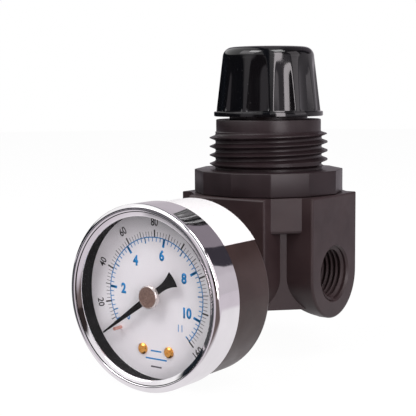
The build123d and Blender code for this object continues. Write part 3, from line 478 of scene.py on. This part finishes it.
def screwed_section(name, inner, outer, inner_width, outer_width, pitch, turns, low, steps=96, rounding=0.25):
    """A trapezium section screwed round Z: a groove cutter or a thread ridge, capped at both ends."""
    deselect()
    bpy.ops.mesh.primitive_plane_add(size=MM, rotation=(math.radians(90), 0, 0))
    piece = named(name)
    bpy.ops.object.transform_apply(rotation=True)
    middle = (inner + outer) / 2
    bpy.ops.object.mode_set(mode="EDIT")
    bpy.ops.mesh.select_all(action="SELECT")
    bpy.ops.transform.resize(value=(outer - inner, 1, outer_width), center_override=(0, 0, 0))
    bpy.ops.transform.translate(value=(middle * MM, 0, low * MM))
    select_where(piece, lambda spot: spot.x < middle)
    bpy.ops.transform.resize(value=(1, 1, inner_width / outer_width), center_override=(middle * MM, 0, low * MM))
    if rounding:
        bpy.ops.mesh.bevel(offset=rounding * MM, segments=3, affect="VERTICES")
    bpy.ops.mesh.select_all(action="SELECT")
    bpy.ops.mesh.delete(type="ONLY_FACE")
    bpy.ops.object.mode_set(mode="OBJECT")
    apply_modifier(piece, "SCREW", axis="Z", angle=math.radians(360), screw_offset=pitch * MM, iterations=turns,
                   steps=steps, render_steps=steps, use_merge_vertices=False)
    bpy.ops.object.mode_set(mode="EDIT")
    bpy.ops.mesh.select_all(action="SELECT")
    bpy.ops.mesh.remove_doubles(threshold=0.002 * MM)
    bpy.ops.mesh.fill_holes(sides=0)
    tidy_shell()
    bpy.ops.object.mode_set(mode="OBJECT")
    return piece


# Bonnet

def flange_plate():
    """Twelve-sided flange with softened corners and edges."""
    deselect()
    bpy.ops.mesh.primitive_cylinder_add(
        vertices=12, radius=FLANGE_R * MM, depth=FLANGE_T * MM, location=(0, 0, -FLANGE_T / 2 * MM),
        rotation=(0, 0, math.radians(FLANGE_TURN + 90)))
    piece = named("flange_plate")
    bpy.ops.object.transform_apply(location=True, rotation=True)
    apply_modifier(piece, "BEVEL", width=0.22 * MM, segments=3, limit_method="ANGLE", angle_limit=math.radians(20))
    return piece


def bonnet_piece():
    """Bonnet with its cut thread, joined to the flange."""
    relief = 0.55
    corners = [
        (CAVITY_R, SPIGOT_LOW), (SPIGOT_R, SPIGOT_LOW), (SPIGOT_R, -FLANGE_T - 0.1), (NECK_R, -FLANGE_T + 0.2),
        (NECK_R, -1.0), (ROOT_R + 0.1, -0.9), (ROOT_R + 0.1, relief), (NECK_R, relief + 0.75),
        (NECK_R, NECK_H - 0.8), (NECK_R - 0.25, NECK_H - 0.4), (COLLAR_R + 0.2, NECK_H), (COLLAR_R, NECK_H + 0.2),
        (COLLAR_R, COLLAR_TOP - 0.3), (COLLAR_R - 0.1, COLLAR_TOP - 0.08), (COLLAR_R - 0.35, COLLAR_TOP),
        (TUBE_R, COLLAR_TOP), (TUBE_R, TUBE_TOP - 0.4), (TUBE_R - 0.4, TUBE_TOP), (TUBE_R - 2.0, TUBE_TOP),
        (TUBE_R - 2.0, COLLAR_TOP), (4.15, COLLAR_TOP), (4.15, CAVITY_TOP), (CAVITY_R, CAVITY_TOP)]
    blank = turned("neck_blank", corners, 240)
    first = CREST_Z + PITCH / 2 - PITCH * CREST_CLOCK / 360
    low = first - PITCH * math.floor((first - 0.35) / PITCH)
    groove = screwed_section("neck_groove", ROOT_R, NECK_R + 0.4, 0.75, 2.25, PITCH, 5, low, 120)
    deselect()
    blank.select_set(True)
    bpy.context.view_layer.objects.active = blank
    cut = blank.modifiers.new("thread", "BOOLEAN")
    cut.operation = "DIFFERENCE"
    cut.solver = "EXACT"
    cut.object = groove
    bpy.ops.object.modifier_apply(modifier=cut.name)
    bpy.data.objects.remove(groove)
    apply_modifier(blank, "BEVEL", width=0.07 * MM, segments=2, limit_method="ANGLE", angle_limit=math.radians(35),
                   use_clamp_overlap=True)
    piece = joined("bonnet_shape", [blank, flange_plate()])
    smooth(piece, 35)
    return piece


# Knob

def knob_side(level):
    """Radius of the plain tapered side at one height."""
    share = (level - RIM_TOP) / (KNOB_TOP - RIM_TOP)
    return KNOB_BASE_R + (KNOB_CROWN_R - KNOB_BASE_R) * share


def flute_depth(spot):
    """How far a scallop cuts into the side at this place, in millimetres."""
    radius = math.hypot(spot.x, spot.y)
    if spot.z < FLUTE_LOW or radius < KNOB_BORE_R + 0.1 and spot.z < KNOB_CEILING:
        return 0.0
    step = 360 / FLUTES
    angle = (math.degrees(math.atan2(spot.y, spot.x)) - FLUTE_TURN) % step - step / 2
    axis = FLUTE_AXIS - FLUTE_LEAN * (spot.z - FLUTE_LOW)
    across = axis * math.sin(math.radians(angle))
    if abs(across) > FLUTE_R:
        return 0.0
    cut = axis * math.cos(math.radians(angle)) - math.sqrt(FLUTE_R ** 2 - across ** 2)
    depth = radius - cut
    rise = min(1.0, max(0.0, (spot.z - FLUTE_FADE) / (FLUTE_TOP - FLUTE_FADE)))
    fade = 1 - rise * rise * (3 - 2 * rise)
    return max(0.0, 0.5 * (depth + math.sqrt(depth ** 2 + 0.004)) - 0.004) * fade


def knob_piece():
    """Glossy knob: plain turned cap, its scallops pressed in by weight, then the socket boss and webs."""
    corners = [(KNOB_BORE_R, KNOB_LOW), (KNOB_RIM_R - 0.15, KNOB_LOW), (KNOB_RIM_R, KNOB_LOW + 0.15),
               (KNOB_RIM_R, RIM_TOP - 0.2), (KNOB_RIM_R - 0.06, RIM_TOP - 0.06), (KNOB_RIM_R - 0.2, RIM_TOP),
               (KNOB_BASE_R + 0.1, RIM_TOP), (KNOB_BASE_R, RIM_TOP + 0.06), (knob_side(FLUTE_LOW - 0.04), FLUTE_LOW - 0.04)]
    shoulder = KNOB_TOP - KNOB_EDGE
    levels = [FLUTE_LOW + 0.04] + [FLUTE_LOW + 0.7 * step for step in range(1, 19)] + [shoulder - 0.2]
    corners += [(knob_side(level), level) for level in levels]
    turn_in = knob_side(shoulder) - KNOB_EDGE
    for step in range(13):
        angle = math.radians(7.5 * step)
        corners.append((turn_in + KNOB_EDGE * math.cos(angle), shoulder + KNOB_EDGE * math.sin(angle) - 0.05))
    corners += [(6.0, KNOB_TOP - 0.015), (3.0, KNOB_TOP), (0, KNOB_TOP), (0, KNOB_CEILING), (KNOB_BORE_R, KNOB_CEILING)]
    for level in (17.5, 15.0):
        corners += [(KNOB_BORE_R, level + 0.4), (KNOB_BORE_R + 0.28, level + 0.2),
                    (KNOB_BORE_R + 0.28, level - 0.2), (KNOB_BORE_R, level - 0.4)]
    piece = turned("knob_cap", corners, 432)
    flutes = piece.vertex_groups.new(name="flutes")
    for vertex in piece.data.vertices:
        depth = flute_depth(vertex.co / MM)
        if depth > 0.001:
            flutes.add([vertex.index], min(depth, 1.0), "REPLACE")
    apply_modifier(piece, "DISPLACE", vertex_group="flutes", strength=-MM, mid_level=0.0)
    deselect()
    bpy.ops.mesh.primitive_cylinder_add(vertices=96, radius=BOSS_R * MM, depth=(KNOB_CEILING - 15.8 + 0.05) * MM,
                                        location=(0, 0, (KNOB_CEILING + 15.85) / 2 * MM))
    boss = named("knob_boss")
    bpy.ops.object.transform_apply(location=True)
    deselect()
    bpy.ops.mesh.primitive_cylinder_add(vertices=6, radius=SOCKET_AF / math.sqrt(3) * MM,
                                        depth=(SOCKET_TOP - 15.0) * MM, location=(0, 0, (SOCKET_TOP + 15.0) / 2 * MM))
    socket = named("knob_socket")
    bpy.ops.object.transform_apply(location=True)
    apply_modifier(boss, "BOOLEAN", operation="DIFFERENCE", solver="EXACT", object=socket)
    bpy.data.objects.remove(socket)
    webs = []
    for index in range(6):
        deselect()
        bpy.ops.mesh.primitive_cube_add(size=MM)
        web = named("knob_web")
        bpy.ops.object.mode_set(mode="EDIT")
        bpy.ops.transform.resize(value=(KNOB_BORE_R - BOSS_R + 0.3, 1.2, KNOB_CEILING - 19.9 + 0.05),
                                 center_override=(0, 0, 0))
        bpy.ops.transform.translate(value=((KNOB_BORE_R + BOSS_R) / 2 * MM, 0, (KNOB_CEILING + 19.95) / 2 * MM))
        bpy.ops.object.mode_set(mode="OBJECT")
        webs.append(settle(web, Matrix.Rotation(math.radians(60 * index), 4, "Z")))
    piece = joined("knob_shape", [piece, boss] + webs)
    smooth(piece, 40)
    return piece


# Gauge ring

def bezel_piece():
    """Chromed ring: skirt over the case, rolled front, a fine groove and a bevel down to the window."""
    inner = CASE_R + 0.05
    roll = []
    radius, level = BEZEL_R, 0.0
    for bend, first, last in ((1.0, 0, 70), (1.3, 70, 105), (0.35, 105, 150)):
        for step in range(9):
            angle = math.radians(first + (last - first) * step / 8)
            turn = math.radians(first)
            spot = (radius + bend * (math.cos(angle) - math.cos(turn)), level + bend * (math.sin(angle) - math.sin(turn)))
            if step or first == 0:
                roll.append(spot)
        radius, level = spot
    rise = BEZEL_FRONT - max(spot[1] for spot in roll)
    corners = [(inner, BEZEL_BACK), (BEZEL_R - 0.1, BEZEL_BACK), (BEZEL_R, BEZEL_BACK + 0.1),
               (BEZEL_R, BEZEL_BACK + 3.5)]
    corners += [(radius, level + rise) for radius, level in roll]
    groove = corners[-1]
    corners += [(groove[0] - 0.04, groove[1] - 0.12), (groove[0] - 0.09, groove[1] - 0.12),
                (groove[0] - 0.13, groove[1] - 0.06), (18.8, 51.72), (18.35, 51.5), (18.24, 51.43),
                (BEZEL_OPENING, 51.33), (BEZEL_OPENING, LIP_BACK), (inner, LIP_BACK)]
    ring = turned("bezel_shape", corners, 320)
    smooth(ring, 35)
    return settle(ring, GAUGE_PLACE)


def port_thread(name, turn):
    """The four or five open turns inside one port."""
    turns = int((PORT_FACE - 0.6 - PORT_END) / PORT_PITCH)
    ridge = screwed_section(name, PORT_MINOR_R, PORT_R + 0.05, 0.3, 1.25, PORT_PITCH, turns, PORT_END + 0.7, 72, 0.05)
    place = Matrix.Translation((0, 0, PORT_Z * MM)) @ Matrix.Rotation(turn, 4, "Z") @ Matrix.Rotation(
        math.radians(90), 4, "Y")
    settle(ridge, place)
    smooth(ridge, 40)
    return ridge


# Dial print: thin ink laid on the dial, made flat with Y up and stood on the gauge axis

def scale_marks(name, inner, outer, width, first, step, count):
    """One mark, then its copies turned round the dial clockwise."""
    deselect()
    bpy.ops.mesh.primitive_cube_add(size=MM)
    piece = named(name)
    bpy.ops.object.mode_set(mode="EDIT")
    bpy.ops.transform.resize(value=(width, outer - inner, PRINT), center_override=(0, 0, 0))
    bpy.ops.transform.translate(value=(0, (inner + outer) / 2 * MM, (DIAL_FACE + PRINT / 2) * MM))
    bpy.ops.object.mode_set(mode="OBJECT")
    settle(piece, Matrix.Rotation(math.radians(-first), 4, "Z"))
    marks = [piece]
    for index in range(1, count):
        deselect()
        copy = piece.copy()
        copy.data = piece.data.copy()
        bpy.context.scene.collection.objects.link(copy)
        marks.append(settle(copy, Matrix.Rotation(math.radians(-step * index), 4, "Z")))
    return joined(name, marks)


def scale_arc(name, radius, width, start, sweep):
    """A thin printed arc."""
    deselect()
    bpy.ops.mesh.primitive_cube_add(size=MM)
    piece = named(name)
    bpy.ops.object.mode_set(mode="EDIT")
    bpy.ops.transform.resize(value=(0.001, width, PRINT), center_override=(0, 0, 0))
    bpy.ops.transform.translate(value=(0, radius * MM, (DIAL_FACE + PRINT / 2) * MM))
    select_where(piece, lambda spot: spot.x < 0)
    bpy.ops.mesh.delete(type="VERT")
    bpy.ops.mesh.select_all(action="SELECT")
    bpy.ops.mesh.spin(steps=120, angle=math.radians(sweep), center=(0, 0, 0), axis=(0, 0, 1))
    bpy.ops.mesh.select_all(action="SELECT")
    bpy.ops.mesh.fill_holes(sides=0)
    tidy_shell()
    bpy.ops.object.mode_set(mode="OBJECT")
    return settle(piece, Matrix.Rotation(math.radians(-start), 4, "Z"))


def numeral(text, size, radius, angle, turn, bold=0.0, squeeze=1.0):
    """One printed number at a clock angle on the dial."""
    deselect()
    bpy.ops.object.text_add()
    piece = bpy.context.active_object
    piece.data.body = text
    piece.data.align_x = "CENTER"
    piece.data.align_y = "CENTER"
    piece.data.size = size * MM
    piece.data.offset = bold * MM
    piece.data.resolution_u = 4
    bpy.ops.object.convert(target="MESH")
    piece = bpy.context.active_object
    bpy.ops.object.mode_set(mode="EDIT")
    bpy.ops.mesh.select_all(action="SELECT")
    bpy.ops.mesh.extrude_region_move(TRANSFORM_OT_translate={"value": (0, 0, PRINT * MM)})
    tidy_shell()
    bpy.ops.object.mode_set(mode="OBJECT")
    spot = (radius * math.sin(math.radians(angle)) * MM, radius * math.cos(math.radians(angle)) * MM, DIAL_FACE * MM)
    place = Matrix.Translation(spot) @ Matrix.Rotation(math.radians(-turn), 4, "Z") @ Matrix.Scale(squeeze, 4, (1, 0, 0))
    return settle(piece, place)


def printed_bar(name, x, y, width, height):
    """A plain bar where a unit would be printed."""
    deselect()
    bpy.ops.mesh.primitive_cube_add(size=MM)
    piece = named(name)
    bpy.ops.object.mode_set(mode="EDIT")
    bpy.ops.transform.resize(value=(width, height, PRINT), center_override=(0, 0, 0))
    bpy.ops.transform.translate(value=(x * MM, y * MM, (DIAL_FACE + PRINT / 2) * MM))
    bpy.ops.object.mode_set(mode="OBJECT")
    return piece


def dial_print():
    """The outer scale in black and the inner one in blue."""
    step = SCALE_SWEEP / PSI_FULL
    fine = [scale_marks("fine", ARC_R + 0.15, ARC_R + 1.25, 0.12, SCALE_START + 8 * step, 2 * step, 77)]
    black = [scale_marks("coarse", ARC_R, ARC_R + 1.7, 0.36, SCALE_START + 20 * step, 20 * step, 8),
             scale_marks("middle", ARC_R, ARC_R + 1.5, 0.18, SCALE_START + 10 * step, 20 * step, 8)]
    for value in range(20, PSI_FULL + 1, 20):
        angle = SCALE_START + value * step
        turn = angle if abs(angle) < 95 else angle + 180
        black.append(numeral(str(value), 2.5, ARC_R + 3.35, angle, turn, 0.04, 0.82))
    blue = [scale_arc("arc", ARC_R, 0.22, SCALE_START + 14, SCALE_SWEEP - 14),
            scale_marks("bar_fine", ARC_R - 0.95, ARC_R, 0.19, SCALE_START + 0.6 * BAR_STEP, BAR_STEP / 5, 53),
            scale_marks("bar_middle", ARC_R - 1.35, ARC_R, 0.28, SCALE_START + BAR_STEP, BAR_STEP, 11),
            scale_marks("bar_coarse", ARC_R - 1.9, ARC_R, 0.6, SCALE_START + 2 * BAR_STEP, 2 * BAR_STEP, 5)]
    blue.append(numeral("0", 2.0, 9.7, -126, 0, 0.06, 0.85))
    for value in range(2, 11, 2):
        blue.append(numeral(str(value), 3.1, 9.2, SCALE_START + value * BAR_STEP, 0, 0.15, 0.85))
    blue.append(numeral("11", 2.3, 9.6, SCALE_START + 11 * BAR_STEP, 0, 0.0, 0.85))
    blue.append(printed_bar("blue_bar", 0, -12.7, 3.0, 0.35))
    blue.append(printed_bar("blue_bar_low", 0, -14.5, 6.0, 0.35))
    grey = [printed_bar("grey_bar", 0, -16.3, 3.0, 0.35)]
    made = []
    for name, parts, finish in (
            ("dial_fine_marks", fine, "ink_grey"), ("dial_black_print", black, "ink_black"),
            ("dial_blue_print", blue, "ink_blue"), ("dial_grey_print", grey, "ink_grey")):
        made.append((settle(joined(name, parts), GAUGE_PLACE), finish))
    return made


def case_label():
    """Blank white label wrapped round the case, cut from a thin tube."""
    deselect()
    length = BEZEL_BACK - CASE_BACK - 0.9
    bpy.ops.mesh.primitive_cylinder_add(vertices=240, radius=(CASE_R + 0.02) * MM, depth=length * MM,
                                        end_fill_type="NOTHING",
                                        location=(0, 0, (CASE_BACK + 0.7 + length / 2) * MM))
    piece = named("gauge_label")
    bpy.ops.object.transform_apply(location=True)
    bpy.ops.object.mode_set(mode="EDIT")

    def bare(spot):
        clock = math.degrees(math.atan2(spot.x, spot.y))
        return (LABEL_FROM - clock) % 360 > LABEL_SWEEP

    select_where(piece, bare)
    bpy.ops.mesh.delete(type="VERT")
    bpy.ops.mesh.select_all(action="SELECT")
    bpy.ops.mesh.normals_make_consistent(inside=False)
    bpy.ops.object.mode_set(mode="OBJECT")
    apply_modifier(piece, "SOLIDIFY", thickness=0.1 * MM, offset=1.0)
    smooth(piece, 40)
    return settle(piece, GAUGE_PLACE)


# Finishes on the pieces

FINISHES = {
    "coat": cast_coat("body_coat", rgb(0.026, 0.015, 0.016), rgb(0.036, 0.022, 0.023), 0.40),
    "bonnet": moulded("bonnet_plastic", rgb(0.016, 0.010, 0.011), rgb(0.024, 0.015, 0.017), 0.36, gloss=0.3),
    "knob": polished_plastic("knob_plastic"),
    "case": cast_coat("case_paint", rgb(0.034, 0.019, 0.017), rgb(0.046, 0.027, 0.025), 0.34, 0.6, 0.008),
    "chrome": chrome("bezel_chrome"),
    "window": clear_window("window_clear"),
    "dial": dial_white("dial_white"),
    "ink_black": ink("ink_black", rgb(0.02, 0.018, 0.02), rgb(0.06, 0.055, 0.06)),
    "ink_grey": ink("ink_grey", rgb(0.09, 0.085, 0.10), rgb(0.22, 0.20, 0.23)),
    "ink_blue": ink("ink_blue", rgb(0.0, 0.22, 0.56), rgb(0.01, 0.28, 0.62)),
    "pointer": moulded("pointer_black", rgb(0.004, 0.004, 0.004), rgb(0.009, 0.008, 0.008), 0.5, gloss=0.15),
    "hub": hub_metal("hub_nickel"),
    "screw": metal("screw_brass", rgb(0.85, 0.42, 0.10), rgb(0.62, 0.26, 0.06), 0.26),
    "copper": metal("pin_copper", rgb(0.75, 0.42, 0.36), rgb(0.6, 0.32, 0.28), 0.35),
    "brass": metal("turned_brass", rgb(0.74, 0.56, 0.28), rgb(0.52, 0.38, 0.18), 0.28, stretch=(1, 1, 6)),
    "steel": metal("zinc_steel", rgb(0.60, 0.60, 0.61), rgb(0.42, 0.41, 0.40), 0.34),
    "spring": metal("spring_steel", rgb(0.55, 0.55, 0.56), rgb(0.36, 0.35, 0.34), 0.30),
    "rubber": rubber("black_rubber"),
    "nylon": moulded("natural_nylon", rgb(0.62, 0.60, 0.54), rgb(0.70, 0.68, 0.62), 0.45),
    "paper": paper("label_white"),
}

NODE_FINISH = {
    "body": "coat", "bonnet": "bonnet", "knob": "knob", "gauge_case": "case", "gauge_bezel": "chrome",
    "gauge_window": "window", "dial": "dial", "pointer": "pointer", "pointer_hub": "hub", "dial_screws": "screw",
    "stop_pin": "copper", "gauge_socket": "brass", "pickup_tube": "brass", "relief_seat": "brass",
    "spring_button": "brass", "valve_poppet": "brass", "valve_cap": "brass", "bourdon_tube": "brass",
    "bourdon_tip": "brass", "link": "brass", "sector_gear": "brass", "pinion_shaft": "brass",
    "movement_back_plate": "brass", "movement_front_plate": "brass", "movement_pillars": "brass",
    "rear_port_plug": "steel", "diaphragm_plate": "steel", "adjusting_screw": "steel", "movement_screws": "steel",
    "control_spring": "spring", "valve_spring": "spring", "hairspring": "spring", "detent_ring": "rubber",
    "diaphragm": "rubber", "valve_rubber": "rubber", "valve_cap_oring": "rubber", "window_gasket": "rubber",
    "slip_ring": "nylon", "thrust_washer": "nylon", "stem_guide": "nylon",
}


def put_on(piece, finish):
    piece.data.materials.clear()
    piece.data.materials.append(FINISHES[finish])


def finish_nodes():
    for name, piece in frame["nodes"].items():
        put_on(piece, NODE_FINISH[name])


def add_piece(piece, body, finish, replaces=None):
    put_on(piece, finish)
    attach(piece, body)
    if replaces:
        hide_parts(replaces)


# Studio

def camera():
    """Camera at the photograph's place, with its lens and roll."""
    turn = math.radians(CAMERA_AZIMUTH)
    rise = math.radians(CAMERA_ELEVATION)
    roll = math.radians(CAMERA_ROLL)
    back = Vector((math.sin(turn) * math.cos(rise), -math.cos(turn) * math.cos(rise), math.sin(rise)))
    level = Vector((math.cos(turn), math.sin(turn), 0))
    over = back.cross(level)
    right = level * math.cos(roll) + over * math.sin(roll)
    up = over * math.cos(roll) - level * math.sin(roll)
    centre = right * CAMERA_SHIFT[0] + up * CAMERA_SHIFT[1] + back * CAMERA_DISTANCE
    bpy.ops.object.camera_add()
    lens = bpy.context.active_object
    lens.name = "photo_camera"
    lens.data.sensor_width = 36
    lens.data.lens = FOCAL_PIXELS / FRAME_PIXELS * 36
    lens.data.clip_start = 0.01
    axes = Matrix((right, up, back)).transposed().to_4x4()
    lens.matrix_world = Matrix.Translation(centre * MM) @ axes
    bpy.context.scene.camera = lens


def softbox(name, azimuth, elevation, distance, width, height, radiance, colour=(1, 1, 1)):
    """A rectangular lamp aimed at the object; azimuth 0 is in front of the gauge, positive to its right."""
    turn = math.radians(azimuth)
    rise = math.radians(elevation)
    aim = Vector((0, -0.015, -0.010))
    way = Vector((math.sin(turn) * math.cos(rise), -math.cos(turn) * math.cos(rise), math.sin(rise)))
    bpy.ops.object.light_add(type="AREA", location=aim + way * distance)
    lamp = bpy.context.active_object
    lamp.name = name
    lamp.data.shape = "RECTANGLE"
    lamp.data.size = width
    lamp.data.size_y = height
    lamp.data.energy = radiance * math.pi * width * height
    lamp.data.color = colour
    lamp.rotation_euler = way.to_track_quat("Z", "Y").to_euler()


def floor():
    """Plain pale table: white to the camera, with the object's soft shadow on it; glossy rays see painted reflection
    bands on it, paler near the object, with dark patches to the front and left further out.
    """
    deselect()
    bpy.ops.mesh.primitive_circle_add(vertices=128, radius=1.5, fill_type="NGON",
                                      location=(0, 0, cad_box[0][2] - 0.0002))
    table = named("studio_floor")
    turn = math.radians(CAMERA_AZIMUTH)
    finish = Finish("studio_floor", Roughness=0.7, Specular_IOR_Level=0.0, Emission_Strength=1.0)
    spot = finish.place()
    outward = finish.add("ShaderNodeVectorMath", {"operation": "NORMALIZE"}, {0: spot})
    front_way = (math.sin(turn), -math.cos(turn), 0)
    right_way = (math.cos(turn), math.sin(turn), 0)
    toward = finish.add("ShaderNodeVectorMath", {"operation": "DOT_PRODUCT"}, {0: outward, 1: front_way}, output=1)
    aside = finish.add("ShaderNodeVectorMath", {"operation": "DOT_PRODUCT"}, {0: outward, 1: right_way}, output=1)
    away = finish.add("ShaderNodeVectorMath", {"operation": "LENGTH"}, {0: spot}, output=1)
    # Painted reflections for glossy rays: dark patches to the front and to the left of the camera's azimuth.
    dark_left = finish.span(aside, -0.12, -0.2) * finish.span(toward, 0.46, 0.42) * finish.span(away, 0.55, 0.5)
    dark_front = finish.span(toward, 0.78, 0.84) * finish.span(aside, 0.40, 0.30)
    camera_ray = finish.add("ShaderNodeLightPath")
    glossy_ray = finish.add("ShaderNodeLightPath", output=3)
    clear_ray = finish.add("ShaderNodeLightPath", output=6)
    seen = finish.add("ShaderNodeMath", {"operation": "MAXIMUM"}, {0: camera_ray, 1: clear_ray})
    beyond = finish.span(away, 0.07, 0.09)
    pale = finish.mix(beyond, rgb(0.76, 0.74, 0.76), rgb(0.58, 0.53, 0.58))
    painted_reflection = finish.mix(dark_front * beyond, pale, rgb(0.07, 0.04, 0.035))
    painted_reflection = finish.mix(dark_left * beyond, painted_reflection, rgb(0.012, 0.016, 0.022))
    shine = finish.mix(glossy_ray, rgb(0, 0, 0), painted_reflection)
    finish.colour(finish.mix(seen + glossy_ray, rgb(0.42, 0.42, 0.42), rgb(0.06, 0.06, 0.06)))
    finish.feed(finish.shader.inputs["Emission Color"], finish.mix(seen, shine, rgb(0.96, 0.96, 0.96)))
    table.data.materials.append(finish.material)


def world():
    """White to the camera; glossy rays see painted reflection bands: a pale horizon behind, light bands overhead and
    dark gaps between; diffuse rays see plain grey.
    """
    room = bpy.data.worlds.new("studio")
    bpy.context.scene.world = room
    room.use_nodes = True
    sheet = Sheet(room.node_tree)
    way = sheet.add("ShaderNodeTexCoord")
    turn = math.radians(CAMERA_AZIMUTH)
    front = sheet.add("ShaderNodeVectorMath", {"operation": "DOT_PRODUCT"},
                      {0: way, 1: (math.sin(turn), -math.cos(turn), 0)}, output=1)
    height = sheet.add("ShaderNodeVectorMath", {"operation": "DOT_PRODUCT"}, {0: way, 1: (0, 0, 1)}, output=1)
    side = sheet.add("ShaderNodeVectorMath", {"operation": "DOT_PRODUCT"},
                     {0: way, 1: (math.cos(turn), math.sin(turn), 0)}, output=1)
    # Painted reflections: the bands below are seen by glossy rays only.
    low = sheet.mix(sheet.span(front, 0.78, 0.84), rgb(0.56, 0.52, 0.56), rgb(0.03, 0.022, 0.022))
    low = sheet.mix(sheet.span(side, 0.30, 0.40), low, rgb(0.56, 0.52, 0.56))
    left = sheet.span(side, -0.12, -0.2) * sheet.span(front, 0.46, 0.42)
    low = sheet.mix(left, low, rgb(0.012, 0.016, 0.022))
    behind = sheet.bands(side, [
        (0.00, rgb(1, 1, 1)), (0.395, rgb(0.02, 0.03, 0.05)), (0.45, rgb(0.52, 0.48, 0.52)),
        (0.62, rgb(0.05, 0.06, 0.08)), (0.65, rgb(0.30, 0.27, 0.30)), (0.685, rgb(0.03, 0.03, 0.04)),
        (0.70, rgb(0.24, 0.21, 0.24)), (0.86, rgb(0.04, 0.035, 0.045)), (0.94, rgb(0.50, 0.46, 0.50))])
    ahead = sheet.bands(side, [
        (0.00, rgb(0.9, 0.88, 0.9)), (0.37, rgb(0.012, 0.03, 0.05)), (0.50, rgb(0.9, 0.88, 0.9)),
        (0.68, rgb(0.10, 0.09, 0.10))])
    above = sheet.mix(sheet.span(front, -0.05, 0.05), behind, ahead)
    reflected = sheet.mix(sheet.span(height, 0.20, 0.26), low, above)
    glossy_ray = sheet.add("ShaderNodeLightPath", output=3)
    lit = sheet.mix(glossy_ray, rgb(0.30, 0.29, 0.30), reflected)
    camera_ray = sheet.add("ShaderNodeLightPath")
    clear_ray = sheet.add("ShaderNodeLightPath", output=6)
    seen = sheet.add("ShaderNodeMath", {"operation": "MAXIMUM"}, {0: camera_ray, 1: clear_ray})
    sheet.feed(room.node_tree.nodes["Background"].inputs["Color"], sheet.mix(seen, lit, rgb(1, 1, 1)))


def studio():
    camera()
    softbox("strip_right", 59, 10, 0.9, 0.30, 0.9, 7.5, (1.0, 0.93, 0.96))
    softbox("window_right", 105, 25, 1.0, 0.5, 0.6, 1.2, (1.0, 0.93, 0.96))
    softbox("fill_left", -28, 42, 1.1, 0.8, 0.6, 2.1, (1.0, 0.97, 1.0))
    softbox("over_left", -12, 54, 0.8, 0.3, 0.25, 6.5)
    softbox("over_right", 70, 58, 0.8, 0.3, 0.3, 6.5)
    floor()
    world()
    bpy.context.scene.view_settings.view_transform = "Standard"


finish_nodes()
add_piece(bonnet_piece(), "housing", "bonnet", "bonnet")
add_piece(knob_piece(), "knob", "knob", "knob")
add_piece(bezel_piece(), "housing", "chrome", "gauge_bezel")
add_piece(port_thread("outlet_port_thread", 0.0), "housing", "coat")
add_piece(port_thread("inlet_port_thread", math.pi), "housing", "coat")
for printed, ink_name in dial_print():
    add_piece(printed, "housing", ink_name)
add_piece(case_label(), "housing", "paper")
studio()
